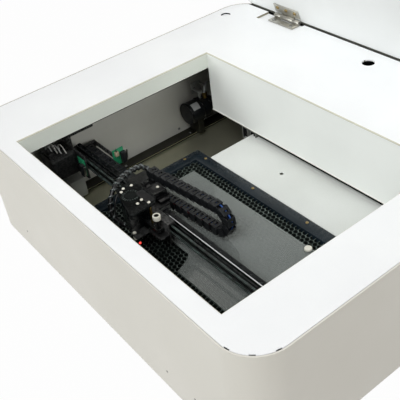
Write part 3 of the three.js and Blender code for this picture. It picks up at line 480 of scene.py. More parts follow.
# dark primer on hidden faces, also used as painted shade in gaps, hollows and under the skirts
primerAndShade = finish("primerAndShade", (30, 31, 32), (22, 23, 24), patch=9.0, grain=600.0, relief=0.15, rough=0.7, shine=0.1)
greyPaint = finish("greyWallPaint", (200, 200, 193), (189, 189, 182), patch=7.0, grain=600.0, relief=0.12, rough=0.5,
                   dust=0.1)
trayPaint = finish("trayPowderCoat", (27, 37, 44), (18, 27, 33), patch=18.0, grain=800.0, relief=0.1, rough=0.26,
                   wear=0.3, dust=0.03, shine=0.2)
blackPaint = finish("blackPowderCoat", (17, 18, 20), (11, 12, 13), grain=900.0, relief=0.2, wear=0.3, dust=0.03,
                    shine=0.22)
blackAnodised = finish("blackAnodised", (17, 21, 23), (12, 15, 16), grain=300.0, stretch=(0.03, 1, 1), relief=0.12,
                       rough=0.28, metal=0.3, wear=0.4, dust=0.02, shine=0.22)
blackMoulded = finish("blackMoulding", (24, 26, 28), (16, 18, 20), grain=1200.0, relief=0.2, rough=0.36, dust=0.05,
                      wear=0.2, bare=(84, 86, 88), shine=0.25)
blackGloss = finish("blackGlossMoulding", (11, 12, 14), (7, 8, 9), grain=1200.0, rough=0.16, dust=0.02, shine=0.3)
fanPlastic = finish("fanPlastic", (16, 16, 17), (11, 11, 12), grain=1000.0, relief=0.1, rough=0.42, dust=0.06,
                    shine=0.25)
hingeSteel = brushed("hingeSteel", (206, 204, 196), (184, 182, 174), rough=0.34, metal=0.9)
steelBrushed = brushed("brushedSteel", (182, 183, 181), (160, 161, 160), rough=0.3, metal=1.0, dust=0.06)
# a pale strip painted as the highlight along the rail
railHighlight = brushed("paintedRailHighlight", (236, 238, 238), (214, 217, 218), grain=400.0, stretch=(0.02, 1, 1), relief=0.05,
                  metal=0.25, dust=0.0)
steelTurned = turned("turnedSteel", (176, 177, 175), (150, 151, 150), 0.28)
darkSteel = turned("blackenedSteel", (92, 94, 96), (64, 66, 68), 0.34, 0.9)
brassTurned = turned("turnedBrass", (176, 150, 92), (150, 126, 74), 0.3)
screwZinc = finish("yellowZincScrew", (190, 168, 120), (160, 138, 92), grain=1500.0, relief=0.08, rough=0.32, metal=0.9)
ivoryNylon = finish("ivoryNylon", (234, 232, 220), (224, 221, 207), grain=1500.0, relief=0.06)
tanPlug = finish("tanPlug", (176, 160, 136), (156, 140, 118), grain=1500.0, relief=0.06)
rubberBlack = finish("blackRubber", (28, 28, 28), (20, 20, 20), grain=1100.0, relief=0.3, rough=0.75, dust=0.1)
greyCase = finish("greyMoulding", (176, 178, 174), (162, 164, 160), grain=800.0, relief=0.1, rough=0.42, dust=0.1)
# the pump's pale label, painted grey as the shade it lies in
labelInShade = finish("labelShadedTone", (168, 170, 168), (150, 152, 150), grain=900.0, rough=0.55)
clipNylon = finish("clipNylon", (128, 129, 124), (104, 106, 102), grain=900.0, relief=0.1, shine=0.2)
clearNylon = finish("milkyNylon", (200, 203, 200), (176, 180, 178), grain=900.0, relief=0.1, rough=0.25, coat=0.4)
sheetEdgeHighlight = finish("sheetEdgeHighlightTone", (150, 160, 154), (116, 126, 120), patch=30.0, grain=900.0, relief=0.1, rough=0.3)
flangeSteel = finish("dullFlange", (54, 54, 45), (42, 42, 35), patch=14.0, grain=700.0, metal=0.6)
flangeHighlight = finish("flangeHighlight", (168, 166, 134), (140, 138, 110), patch=30.0, grain=700.0, rough=0.35, metal=0.3)
# the wrap's black film, with lighter patches painted as its sheen
wrapFilmAndSheen = finish("wrapFilmAndSheen", (92, 100, 99), (34, 38, 39), patch=110.0, grain=1500.0, rough=0.1, coat=0.8)
redWire = finish("redInsulation", (122, 28, 30), (98, 20, 22))
blueWire = finish("blueInsulation", (62, 100, 178), (44, 76, 140), rough=0.35)
blackWire = finish("blackInsulation", (16, 16, 17), (11, 11, 12), rough=0.34)
whiteWire = finish("whiteInsulation", (206, 206, 200), (188, 188, 182))
combWall = finish("combWall", (26, 32, 30), (14, 18, 17), patch=40.0, grain=700.0, relief=0.1, rough=0.5, metal=0.2)
# painted highlight on the rims of the cells
combRimHighlight = finish("combRimHighlight", (112, 124, 118), (66, 76, 71), patch=90.0, grain=700.0, relief=0.1, rough=0.36, metal=0.4)


def makeZinc():  # galvanised sheet: crystals of several tones, a little dull
    material, tree, shader, place = newMaterial("galvanisedSheet")
    spangle = node(tree, "ShaderNodeTexVoronoi", {"Vector": place, "Scale": 75.0})
    crystal = node(tree, "ShaderNodeSeparateColor", {0: spangle.outputs["Color"]}).outputs["Red"]
    worn = ramp(tree, noise(tree, place, 9.0, 1.0), 0.2, 0.8)
    tones = mixColour(tree, ramp(tree, crystal, 0.0, 1.0, 0.3, 0.7), linear((186, 185, 163)), linear((196, 195, 173)))
    feed(shader, {"Base Color": mixColour(tree, mathNode(tree, "MULTIPLY", worn, 0.3), tones, linear((176, 174, 152))),
                  "Roughness": ramp(tree, crystal, 0.0, 1.0, 0.34, 0.4), "Metallic": 0.85,
                  "Normal": bumped(tree, noise(tree, place, 700.0, 2.0), 0.02, 0.0004)})
    return material


def makeBoard():  # green lacquer over copper tracks
    material, tree, shader, place = newMaterial("greenLacquerBoard")
    lines = node(tree, "ShaderNodeTexBrick", {"Vector": place, "Scale": 160.0, "Mortar Size": 0.06}).outputs["Fac"]
    tones = mixColour(tree, ramp(tree, noise(tree, place, 60.0), 0.3, 0.7), linear((18, 122, 84)), linear((12, 96, 66)))
    feed(shader, {"Base Color": mixColour(tree, mathNode(tree, "MULTIPLY", lines, 0.4), tones, linear((60, 160, 110))),
                  "Roughness": ramp(tree, noise(tree, place, 90.0), 0.2, 0.8, 0.28, 0.4),
                  "Normal": bumped(tree, lines, 0.3, 0.0002)})
    return material


def makeBelt():  # toothed belt: pale dashes painted as light, between dark teal bands painted as shade
    material, tree, shader, place = newMaterial("toothedBelt")
    bands = node(tree, "ShaderNodeTexWave", {"Vector": place, "Scale": 110.0}, wave_type="BANDS", bands_direction="X")
    edge = ramp(tree, bands.outputs["Fac"], 0.45, 0.65)
    broken = ramp(tree, noise(tree, place, 120.0, 3.0), 0.35, 0.6)
    litDashes = mathNode(tree, "MULTIPLY", edge, broken)
    feed(shader, {"Base Color": mixColour(tree, litDashes, linear((9, 13, 13)), linear((84, 100, 95))),
                  "Roughness": ramp(tree, broken, 0.0, 1.0, 0.35, 0.55),
                  "Normal": bumped(tree, bands.outputs["Fac"], 0.25, 0.0003)})
    return material


def makeClear():  # cast sheet, clear, with a few faint scratches
    material, tree, shader, place = newMaterial("clearAcrylic")
    drawn = node(tree, "ShaderNodeMapping", {"Vector": place, "Scale": (1.0, 24.0, 1.0), "Rotation": (0, 0, 0.6)})
    hair = noise(tree, drawn.outputs["Vector"], 40.0, 4.0)
    tones = ramp(tree, noise(tree, place, 6.0), 0.3, 0.7)
    shadow = mathNode(tree, "MULTIPLY", tree.nodes.new("ShaderNodeLightPath").outputs["Is Shadow Ray"], 0.45)
    feed(shader, {"Base Color": mixColour(tree, tones, linear((140, 145, 142)), linear((130, 135, 132))),
                  "Roughness": ramp(tree, hair, 0.6, 0.75, 0.1, 0.2),
                  "Alpha": mathNode(tree, "SUBTRACT", 0.6, shadow)})
    return material


def makeLamp():  # small lit indicator
    material, tree, shader, place = newMaterial("redIndicator")
    core = ramp(tree, noise(tree, place, 900.0), 0.2, 0.8)
    colour = mixColour(tree, core, linear((255, 40, 36)), linear((255, 90, 80)))
    feed(shader, {"Base Color": colour, "Emission Color": colour, "Emission Strength": 1.6, "Roughness": 0.3})
    return material


zincSheet, greenBoard, beltLightAndShade, clearAcrylic, redLamp = makeZinc(), makeBoard(), makeBelt(), makeClear(), makeLamp()
print("finishes made")


# small hardware, modelled once at the origin and copied

screwShape = {"rise": 0.55, "slotWidth": 0.22, "slotDeep": 0.3}


def crossScrew():  # a pan head of radius 1
    head = rod("crossScrew", (0, 0, 0), (0, 0, screwShape["rise"]), 1.0, sides=20)
    bevelled(head, lambda a, b: min(a.z, b.z) > 0.5, 0.3, 3)
    half, low = screwShape["slotWidth"] / 2, screwShape["rise"] - screwShape["slotDeep"]
    arms = [block("arm", (-0.6, -half, low), (0.6, half, 1)), block("arm", (-half, -0.6, low), (half, 0.6, 1))]
    return smooth(cut(head, arms), 40)


def socketScrew():  # a cap head of radius 1 with a six-sided socket
    head = rod("socketScrew", (0, 0, 0), (0, 0, 1.0), 1.0, sides=20)
    bevelled(head, lambda a, b: min(a.z, b.z) > 0.9, 0.12, 2)
    socket = rod("socket", (0, 0, 0.35), (0, 0, 2), 0.52, sides=6)
    return smooth(cut(head, [socket]), 40)


crossHead, socketHead = crossScrew(), socketScrew()
for model in (crossHead, socketHead):
    model.hide_render = True


def screws(name, places, toward, radius, body, material, model=crossHead):
    made = [copyOf(model, placed(place, toward, radius * mm, 37 * i)) for i, place in enumerate(places)]
    group = joined(made, name)
    return ready(smooth(group, 40), body, material)


def paintFaces(obj, material, wanted):  # a second finish on some faces
    obj.data.materials.append(material)
    index = len(obj.data.materials) - 1
    for face in obj.data.polygons:
        if wanted(face.center, face.normal):
            face.material_index = index


# the case: a wrapped side shell

caseSize = {"halfX": 330, "halfY": 282.5, "top": 195}
shellShape = {"corner": 50, "cornerSteps": 20, "sheet": 2, "edge": 0.5, "screwX": (-209.6, 161.2, 216.8),
              "screwZ": 44, "screwRadius": 1.7, "outlet": (-205, 105, 42), "inlet": (225, 56, 20, 11.5),
              "switch": (170, 56, 9, 14)}


def shellInside(centre, normal):  # faces that look at the middle of the case, below its top edge
    inward = caseMiddle - centre
    inward.z = 0
    return normal.dot(inward.normalized()) > 0.3 and abs(normal.z) < 0.5


def caseShell():
    shape = shellShape
    shell = block("caseShell", caseLow, caseHigh)
    deleted(shell, lambda c, n: abs(n.z) > 0.9)
    bevelled(shell, lambda a, b: abs(a.z - b.z) > 0.1, shape["corner"] * mm, shape["cornerSteps"])
    walled(shell, shape["sheet"])
    front, rear, z = -caseSize["halfY"], caseSize["halfY"], shape["screwZ"]
    radius = shape["screwRadius"] * mm
    tools = [rod("hole", at(x, front - 2, z), at(x, front + 4, z), radius) for x in shape["screwX"]]
    x, z, radius = shape["outlet"]
    tools.append(rod("outlet", at(x, rear - 4, z), at(x, rear + 2, z), radius * mm, 64))
    for x, z, halfX, halfZ in (shape["inlet"], shape["switch"]):
        tools.append(block("cutout", at(x - halfX, rear - 4, z - halfZ), at(x + halfX, rear + 2, z + halfZ)))
    cut(shell, tools)
    soften(shell, shape["edge"])
    evened(shell)
    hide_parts("side_shell")
    # the shell's tone carries painted shade on its upright faces
    ready(shell, "case", shellShadedPaint)
    paintFaces(shell, primerAndShade, shellInside)
    heads = [at(x, front + 1.6, shape["screwZ"]) for x in shape["screwX"]]
    screws("frontScrews", heads, (0, -1, 0), 1.5, "case", blackPaint, socketHead)


# the top: one folded sheet with the mouth, its skirts and the hinge pockets

topShape = {"seam": 2.5, "corner": 50, "cornerSteps": 20, "rear": 272.5, "fold": 2.2, "sheet": 1.5,
            "mouth": (-214, 251, -252.5, 100), "skirt": 28.7, "rearSkirt": 108.7,
            "pocketX": (-205, 205), "pocketHalf": 45, "pocketFront": 242.5, "pocketDeep": 3.7,
            "notch": (7, 1.6), "notchAngles": (12, 45, 78)}
holeShape = {"small": (-305, 217.5, 9), "large": (10.5, 240.5, 10)}


def score(obj, linesX, linesY):  # edges added along these lines, in millimetres
    cuts = [(at(x, 0, 0), (1, 0, 0)) for x in linesX] + [(at(0, y, 0), (0, 1, 0)) for y in linesY]
    for point, normal in cuts:
        pickAll(obj)
        bpy.ops.mesh.bisect(plane_co=point, plane_no=normal)
        done()


def roundedSheet(name, centre, halfX, halfY, corner, steps):
    flat = primitive("plane", name, size=2, location=centre)
    middle = Matrix.Translation(centre)
    flat.data.transform(middle @ Matrix.Diagonal((halfX * mm, halfY * mm, 1, 1)) @ middle.inverted())
    pickAll(flat)
    bpy.ops.mesh.bevel(offset=corner * mm, segments=steps, affect="VERTICES")
    done()
    return flat


def topCover():
    shape = topShape
    edge, top = shape["seam"], caseSize["top"]
    left, right, front, rear = shape["mouth"]
    cover = roundedSheet("topCover", at(0, 0, top), caseSize["halfX"] - edge, caseSize["halfY"] - edge,
                         shape["corner"] - edge, shape["cornerSteps"])
    pickAll(cover)
    bpy.ops.mesh.bisect(plane_co=at(0, shape["rear"], top), plane_no=(0, 1, 0), clear_outer=True)
    done()
    score(cover, (left, right), (front, rear))
    low, high = at(left, front, 0), at(right, rear, 0)
    inMouth = lambda c: within(c, low, high, 0.002)
    deleted(cover, lambda c, n: within(c, low, high))

    def onRim(a, b):
        middle = (a + b) / 2
        onX = same(middle.x, low.x) or same(middle.x, high.x)
        onY = same(middle.y, low.y) or same(middle.y, high.y)
        lengthwise = same(a.x, b.x) or same(a.y, b.y)
        return within(middle, low, high, slack) and lengthwise and (onX or onY) and middle.z > top * mm - slack

    pickEdges(cover, onRim)
    extruded((0, 0, -shape["skirt"] * mm))
    depth = (top - shape["skirt"]) * mm
    pickEdges(cover, lambda a, b: max(a.z, b.z) < depth + slack and min(a.y, b.y) > high.y - slack)
    extruded((0, 0, (shape["skirt"] - shape["rearSkirt"]) * mm))
    bevelled(cover, onRim, shape["fold"] * mm, 4)
    hingePockets(cover)
    walled(cover, shape["sheet"])
    holes = [rod("hole", at(x, y, top - 8), at(x, y, top + 2), r * mm, 48) for x, y, r in holeShape.values()]
    cut(cover, holes + seamNotches())
    soften(cover, 0.45)
    evened(cover)
    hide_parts("top_panel", "skirt_frame", "skirt_rear")
    ready(cover, "case", whitePaint)
    under, behind = top * mm - 0.001, at(0, rear + shape["sheet"] * 0.5, 0).y
    paintFaces(cover, primerAndShade, lambda c, n: n.z < -0.7 and c.z < under and c.z > under - 0.004)
    paintFaces(cover, primerAndShade, lambda c, n: n.y > 0.7 and c.y > behind and c.z < under)
    foldLow = (top - shape["fold"] - 0.2) * mm
    # painted shade on the side skirts, painted light on the rear skirt
    paintFaces(cover, sideSkirtShade, lambda c, n: abs(n.x) > 0.5 and c.z < foldLow and inMouth(c))
    paintFaces(cover, rearSkirtLit, lambda c, n: n.y < -0.5 and c.z < foldLow and inMouth(c))
    # the hinge pocket walls take painted shade
    pocketLow = at(0, shape["pocketFront"] - 1, 0).y
    paintFaces(cover, pocketShade, lambda c, n: abs(n.x) > 0.9 and c.y > pocketLow and c.z > under - 0.003)
    # the fold's bevel faces carry painted shade
    paintFaces(cover, foldShade, lambda c, n: foldLow < c.z and 0.15 < n.z < 0.9 and inMouth(c))


def hingePockets(cover):
    shape = topShape
    for middle in shape["pocketX"]:
        x0, x1 = middle - shape["pocketHalf"], middle + shape["pocketHalf"]
        score(cover, (x0, x1), (shape["pocketFront"],))
        low, high = at(x0, shape["pocketFront"], 0), at(x1, shape["rear"], 0)
        pickFaces(cover, lambda c, n: within(c, low, high) and n.z > 0.9)
        extruded((0, 0, -shape["pocketDeep"] * mm))
        deleted(cover, lambda c, n: c.y > high.y - slack and abs(n.y) > 0.9 and low.x < c.x < high.x)


def seamNotches():
    width, deep = topShape["notch"]
    corner = topShape["corner"]
    radius = corner - topShape["seam"]
    made = []
    for side in (-1, 1):
        centre = at(side * (caseSize["halfX"] - corner), corner - caseSize["halfY"], caseSize["top"])
        for degrees in topShape["notchAngles"]:
            outward = Vector((side * math.sin(math.radians(degrees)), -math.cos(math.radians(degrees)), 0))
            notch = block("notch", (-width / 2 * mm, -deep * mm, -6 * mm), (width / 2 * mm, 2 * mm, 2 * mm))
            turn = outward.to_track_quat("Y", "Z").to_matrix().to_4x4()
            notch.data.transform(Matrix.Translation(centre + outward * radius * mm) @ turn)
            made.append(notch)
    return made


# a dark strip painted as the shadow under the left skirt, a bright hem under the rear one, and the plug in the small
# hole

hemShape = {"reach": 1.3, "thick": 1.0}


def skirtHems():
    left, right, front, rear = topShape["mouth"]
    reach, thick, top = hemShape["reach"], hemShape["thick"], caseSize["top"]
    low, deep = top - topShape["skirt"], top - topShape["rearSkirt"]
    # a dark strip standing for the shadow under the left skirt
    shadowStrip = block("skirtShadowStrip", at(left - 0.5, front, low), at(left + reach * 0.5, rear - 1, low + thick))
    ready(soften(shadowStrip, 0.4, 3), "case", primerAndShade)
    hem = block("rearHem", at(left, rear - reach, deep), at(right, rear + 0.5, deep + thick))
    ready(soften(hem, 0.4, 3), "case", hemPaint)
    x, y, radius = holeShape["small"]
    plug = rod("holePlug", at(x, y, top - 5.5), at(x, y, top - 3.5), (radius - 0.5) * mm, 48)
    ready(soften(plug, 0.4), "case", whitePaint)


caseShell()
topCover()
skirtHems()
print("case made")


# the lid, modelled shut and then swung open about its pin

lidShape = {"half": 328, "front": -280.5, "rear": 276.5, "corner": 48, "cornerSteps": 16, "top": 204, "lip": 195.7,
            "lipRear": 256, "gapShadeFrom": 270.5, "sheet": 1.5, "fold": 2.5}
pin = {"y": 269.5, "z": 197, "open": -70}
lidSwing = turnedAbout(at(0, pin["y"], pin["z"]), "X", pin["open"])


def lidShell():
    shape = lidShape
    middle, half = (shape["front"] + shape["rear"]) / 2, (shape["rear"] - shape["front"]) / 2
    lid = roundedSheet("lidShell", at(0, middle, shape["top"]), shape["half"], half, shape["corner"],
                       shape["cornerSteps"])
    score(lid, (), (shape["lipRear"], shape["gapShadeFrom"]))
    line = at(0, shape["lipRear"], 0).y
    pickEdges(lid, lambda a, b: min(a.y, b.y) < line - slack)
    extruded((0, 0, (shape["lip"] - shape["top"]) * mm))
    level = shape["top"] * mm - slack
    bevelled(lid, lambda a, b: min(a.z, b.z) > level and min(a.y, b.y) < line + slack
             and not (same(a.y, line) and same(b.y, line)), shape["fold"] * mm, 4)
    walled(lid, shape["sheet"])
    soften(lid)
    evened(lid)
    lid.data.transform(lidSwing)
    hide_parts("lid_panel")
    ready(lid, "lid", lidPaint)
    # the lid's inner face behind this line takes the painted gap shade
    shut, gapShadeLine = lidSwing.inverted(), at(0, shape["gapShadeFrom"], 0).y
    paintFaces(lid, lidGapShade, lambda c, n: (shut @ c).y > gapShadeLine and (shut.to_3x3() @ n).z < -0.5)


def hinges():
    for side in ("left", "right"):
        for half, body in (("lower", "case"), ("upper", "lid")):
            leaf = fromNode(f"hinge_{side}_{half}", f"hinge_{side}_{half}_leaf", 0.35, 2)
            ready(leaf, body, hingeSteel)
        middle = -199 if side == "left" else 199
        lower = [at(middle + x, 257.5, 193.4) for x in (-21, 21)]
        screws(f"hinge_{side}_case_screws", lower, (0, 0, 1), 3.0, "case", steelTurned)
        outward = lidSwing.to_3x3() @ Vector((0, 0, -1))
        upper = [lidSwing @ at(middle + x, 254, 200.4) for x in (-21, 0, 21)]
        screws(f"hinge_{side}_lid_screws", upper, outward, 3.2, "lid", screwZinc)


lidShell()
hinges()
print("lid made")


# pieces whose solid shape is right: a merged copy with softened edges and its own finish

plainCopies = {
    "bed_plate": ("rearPlate", "case", platePaint, "white_paint", 0.5),
    "bed_tray": ("bedTray", "case", trayPaint, "black_metal", 0.5),
    "sheet_magnet": ("sheetMagnet", "case", ivoryNylon, "white_plastic", 0.6),
    "y_rail_left": ("sideRailLeft", "case", steelBrushed, "steel", 0.5),
    "y_rail_right": ("sideRailRight", "case", steelBrushed, "steel", 0.5),
    "y_motor": ("crossMotor", "case", blackPaint, "black_metal", 0.6),
    "power_supply": ("powerSupply", "case", steelBrushed, "steel", 0.5),
    "driver_box": ("driverBox", "case", greyCase, "grey_case", 1.2),
    "exhaust_fan": ("exhaustFan", "case", fanPlastic, "black_plastic", 0.7),
    "exhaust_rotor": ("exhaustRotor", "exhaust_wheel", fanPlastic, "black_plastic", 0.3),
    "power_rocker": ("powerRocker", "rocker", blackMoulded, "black_plastic", 0.5),
    "y_drive_shaft": ("crossShaft", "y_shaft", steelTurned, "steel", 0.3),
    "y_idler_left": ("sideIdlerLeft", "y_idler_l", steelTurned, "steel", 0.3),
    "y_idler_right": ("sideIdlerRight", "y_idler_r", steelTurned, "steel", 0.3),
    "x_pulley": ("beltPulley", "x_motor_pulley", steelTurned, "steel", 0.3),
    "x_idler": ("beltIdler", "x_idler_wheel", steelTurned, "steel", 0.3),
    "gantry_end_left": ("gantryEndLeft", "gantry", blackPaint, "black_metal", 0.4),
    "gantry_end_right": ("gantryEndRight", "gantry", blackPaint, "black_metal", 0.4),
    "x_motor": ("beltMotor", "gantry", blackPaint, "black_metal", 0.6),
    "endstop_x_lever": ("switchLeverFront", "x_switch_lever", steelBrushed, "steel", 0.15),
    "endstop_y_lever": ("switchLeverRear", "y_switch_lever", steelBrushed, "steel", 0.15),
    "carriage_block": ("slideBlock", "carriage", steelBrushed, "steel", 0.5),
    "carriage_plate": ("carriagePlate", "carriage", blackPaint, "black_metal", 0.4),
    "laser_body": ("laserBody", "laser_head", blackAnodised, "black_metal", 0.4),
    "head_cover": ("headCover", "laser_head", coverGloss, "black_plastic", 0.5),
    "head_fan": ("headFan", "cooling_fan", fanPlastic, "black_plastic", 0.3),
    "laser_nozzle": ("laserNozzle", "laser_head", brassTurned, "brass", 0.3),
    "focus_knob": ("focusKnob", "focus_knob_body", ivoryNylon, "white_plastic", 0.5),
    "focus_guide": ("focusGuide", "laser_head", brassTurned, "brass", 0.3),
}


plateShape = {"darkFrom": 107.5}  # behind this line the plate is painted dark, as shade under the rear skirt


def copyPlainNodes():
    for source, (name, body, material, slot, width) in plainCopies.items():
        ready(fromNode(source, name, width), body, material)
    plate = bpy.data.objects["rearPlate"]
    score(plate, (), (plateShape["darkFrom"],))
    evened(plate)
    # painted shade on the plate's rear under the skirt
    behind = at(0, plateShape["darkFrom"], 0).y
    paintFaces(plate, primerAndShade, lambda c, n: c.y > behind)
    for corner in ("front_left", "front_right", "rear_left", "rear_right"):
        foot = fromNode("foot_" + corner, "rubberFoot_" + corner, 1.0, 3)
        ready(foot, "case", rubberBlack)


wallShape = {"face": -290.2, "wallScrews": (-140, 72), "flangeScrews": (-210, -60, 84, 200), "flangeLevel": 17.4}


def sideWalls():
    for side in ("left", "right"):
        wall = fromNode("inner_wall_" + side, "sideWall_" + side, 0.4)
        ready(wall, "case", greyPaint)
        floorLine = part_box("inner_wall_" + side)[0].z + 0.006
        paintFaces(wall, flangeSteel, lambda c, n: c.z < floorLine)
    painted(nodes["base_pan"], zincSheet)
    low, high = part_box("inner_wall_left")
    # a pale strip along the flange's lip, painted as its highlight
    lip = block("flangeHighlightStrip", (high.x - 1.4 * mm, low.y, low.z + 2.2 * mm),
                (high.x + 0.1 * mm, high.y, low.z + 3.6 * mm))
    ready(soften(lip), "case", flangeHighlight)
    flange = [Vector((high.x - 8 * mm, y * mm, wallShape["flangeLevel"] * mm)) for y in wallShape["flangeScrews"]]
    screws("flangeScrews", flange, (0, 0, 1), 2.6, "case", steelTurned)
    spots = [at(wallShape["face"], y, 26) for y in wallShape["wallScrews"]]
    screws("wallScrews", spots, (1, 0, 0), 2.4, "case", steelTurned)


# the honeycomb bed: three walls of each cell, repeated, then given a foil's thickness

combShape = {"pitch": 7.6, "foil": 0.75, "crease": 0.22, "droop": 0.25, "rim": 0.9, "edge": 0.6, "seed": 7}


def honeycomb():
    shape = combShape
    low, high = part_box("bed_mesh")
    pitch = shape["pitch"] * mm
    corner = pitch / math.sqrt(3)
    comb = primitive("cylinder", "honeycombBed", vertices=6, radius=corner, depth=high.z - low.z,
                     end_fill_type="NOTHING", location=(low.x, low.y, (low.z + high.z) / 2))
    spread = max(v.co.x for v in comb.data.vertices) - min(v.co.x for v in comb.data.vertices)
    if spread > 1.9 * corner:
        comb.data.transform(turnedAbout((low.x, low.y, 0), "Z", 30))
    deleted(comb, lambda c, n: n.x < -0.9 or n.y < -0.4)
    across = int((high.x - low.x) / pitch) + 3
    deep = int((high.y - low.y) / (3 * corner)) + 2
    for count, step in ((across, (pitch, 0, 0)), (2, (-pitch / 2, 1.5 * corner, 0)), (deep, (0, 3 * corner, 0))):
        modified(comb, "ARRAY", use_relative_offset=False, use_constant_offset=True, constant_offset_displace=step,
                 count=count)
    for point, normal in ((low, (-1, 0, 0)), (low, (0, -1, 0)), (high, (1, 0, 0)), (high, (0, 1, 0))):
        pickAll(comb)
        bpy.ops.mesh.bisect(plane_co=point, plane_no=normal, clear_outer=True)
        done()
    pickAll(comb)
    bpy.ops.mesh.remove_doubles(threshold=0.00002)
    done()
    dice = random.Random(shape["seed"])
    edge = shape["edge"] * mm
    for v in comb.data.vertices:
        if within(v.co, low, high, -edge):
            v.co.x += dice.uniform(-1, 1) * shape["crease"] * mm
            v.co.y += dice.uniform(-1, 1) * shape["crease"] * mm
            if v.co.z > high.z - edge:
                v.co.z -= dice.random() * shape["droop"] * mm
    walled(comb, shape["foil"], 0)
    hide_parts("bed_mesh")
    ready(comb, "case", combWall)
    # the top edges of the cells in a paler tone, a painted highlight
    rim = high.z - shape["rim"] * mm
    paintFaces(comb, combRimHighlight, lambda c, n: c.z > rim and n.z > 0.3)


sheetShape = {"lineFrom": -2.3, "lineTo": -0.5}


def coverSheet():  # with a dark line along its rear, painted as the shade in a scored groove
    sheet = ready(fromNode("clear_sheet", "clearSheet", 0.3), "case", clearAcrylic)
    lines = sheetShape["lineFrom"], sheetShape["lineTo"]
    score(sheet, (), lines)
    low, high = (at(0, y, 0).y for y in lines)
    paintFaces(sheet, primerAndShade, lambda c, n: low < c.y < high)
    # the sheet's cut edges in a pale tone, a painted highlight
    paintFaces(sheet, sheetEdgeHighlight, lambda c, n: abs(n.z) < 0.5)


traySpots = {"left": (-208, -19), "rear": (-120, -5, 110, 178)}  # screws along the tray's rim


def bedTrim():
    low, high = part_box("bed_tray")
    points = [Vector((low.x + 6 * mm, y * mm, high.z)) for y in traySpots["left"]]
    points += [Vector((x * mm, high.y - 7 * mm, high.z)) for x in traySpots["rear"]]
    screws("trayScrews", points, (0, 0, 1), 2.4, "case", screwZinc)
    cableClips()
    route = [at(-126, 112, 84), at(-110, 114, 80), at(-92, 116, 76.2), at(-60, 124, 75.6), at(-40, 140, 75.6)]
    ready(tube("plateWire", route, 1.2 * mm), "case", blackWire)


clipShape = {"x": (-131, -111), "wide": 14.5, "low": 60, "high": 84, "y": 100.5, "deep": 7, "rim": 1.7}


def inClip(place):
    half = (clipShape["wide"] / 2 - 1) * mm
    return any(abs(place.x - at(x, 0, 0).x) < half for x in clipShape["x"])


def cableClips():  # open rings in a row under the rear skirt, with painted shade inside
    shape = clipShape
    y, low, high, half = shape["y"], shape["low"], shape["high"], shape["wide"] / 2
    rings, backs = [], []
    for x in shape["x"]:
        body = block("clip", at(x - half, y, low), at(x + half, y + shape["deep"], high))
        sunk(body, lambda c, n: n.y < -0.9, shape["rim"] * mm, (0, 0.005, 0))
        rings.append(soften(body, 0.5))
        backs.append(ball("wireEnd", at(x, y + 3.2, (low + high) / 2), mm, (2.2, 1.4, 5.2), 12))
    rings = joined(rings, "cableClips")
    ready(rings, "case", clipNylon)
    mouth = at(0, y + 0.8, 0).y
    paintFaces(rings, primerAndShade, lambda c, n: c.y > mouth and (n.y < -0.9 or abs(n.x) > 0.5) and inClip(c))
    ready(smooth(joined(backs, "clippedWires"), 60), "case", blackWire)


def knobTrim():  # a dark bore and a dull stem on the white knob
    knob = bpy.data.objects["focusKnob"]
    low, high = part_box("focus_knob")
    middle = (low + high) / 2
    bore, grip = 4.2 * mm, high.z - 7.0 * mm
    paintFaces(knob, boreShade, lambda c, n: math.hypot(c.x - middle.x, c.y - middle.y) < bore
               and grip < c.z < high.z - 0.4 * mm)
    paintFaces(knob, darkSteel, lambda c, n: c.z < grip - 0.3 * mm)


copyPlainNodes()
knobTrim()
sideWalls()
honeycomb()
coverSheet()
bedTrim()
print("bed and walls made")


# the gantry: beam, rail, belt, motor and switches

beamShape = {"groove": 3.0, "grooveDeep": 2.0}
railShape = {"step": 20, "clear": 8, "boltRadius": 1.7, "boltDeep": 1.6, "edge": 0.7, "paintedLightStrip": 1.3, "split": -8}


def gantryBeam():
    low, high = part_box("gantry_beam")
    middle, half, deep = (low.z + high.z) / 2, beamShape["groove"] / 2 * mm, beamShape["grooveDeep"] * mm
    slots = [block("slot", (low.x - 1, low.y - 0.01, z - half), (high.x + 1, low.y + deep, z + half))
             for z in (middle - 5 * mm, middle + 5 * mm)]
    beam = fromNode("gantry_beam", "gantryBeam", 0.5, 2, slots)
    ready(beam, "gantry", blackAnodised)


def railBar():
    shape = railShape
    low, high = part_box("x_rail")
    rail = block("beamRail", low, high)
    pickFaces(rail, lambda c, n: abs(n.y) > 0.9)
    bpy.ops.mesh.inset(thickness=0.002, use_even_offset=True)
    bpy.ops.transform.resize(value=(1, 0.8, 1), center_override=((low + high) / 2))
    done()
    step, clear, y = shape["step"] * mm, shape["clear"] * mm, (low.y + high.y) / 2
    first, last = math.ceil((low.x + clear) / step), math.floor((high.x - clear) / step)
    spots = [Vector((i * step, y, high.z)) for i in range(first, last + 1)]
    down = Vector((0, 0, shape["boltDeep"] * mm))
    holes = [rod("hole", p - down, p + down, shape["boltRadius"] * mm, 16) for p in spots]
    cut(rail, [joined(holes, "holes")])
    soften(rail, shape["edge"], 3)
    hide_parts("x_rail")
    ready(rail, "gantry", blackAnodised)
    # a painted highlight along the rail's front edge right of the split; left of it the strip is dark steel, where no
    # highlight falls
    middle, wide = at(shape["split"], 0, 0).x, shape["paintedLightStrip"] * mm
    for name, start, end, material in (("Left", low.x + mm, middle, darkSteel),
                                       ("Right", middle, high.x - mm, railHighlight)):
        strip = block("paintedLightStrip" + name, (start, low.y + slack, high.z - wide), (end, low.y + wide, high.z + slack))
        ready(soften(strip, 0.3), "gantry", material)
    screws("railBolts", [p - down * 0.95 for p in spots], (0, 0, 1), 1.2, "gantry", darkSteel, socketHead)


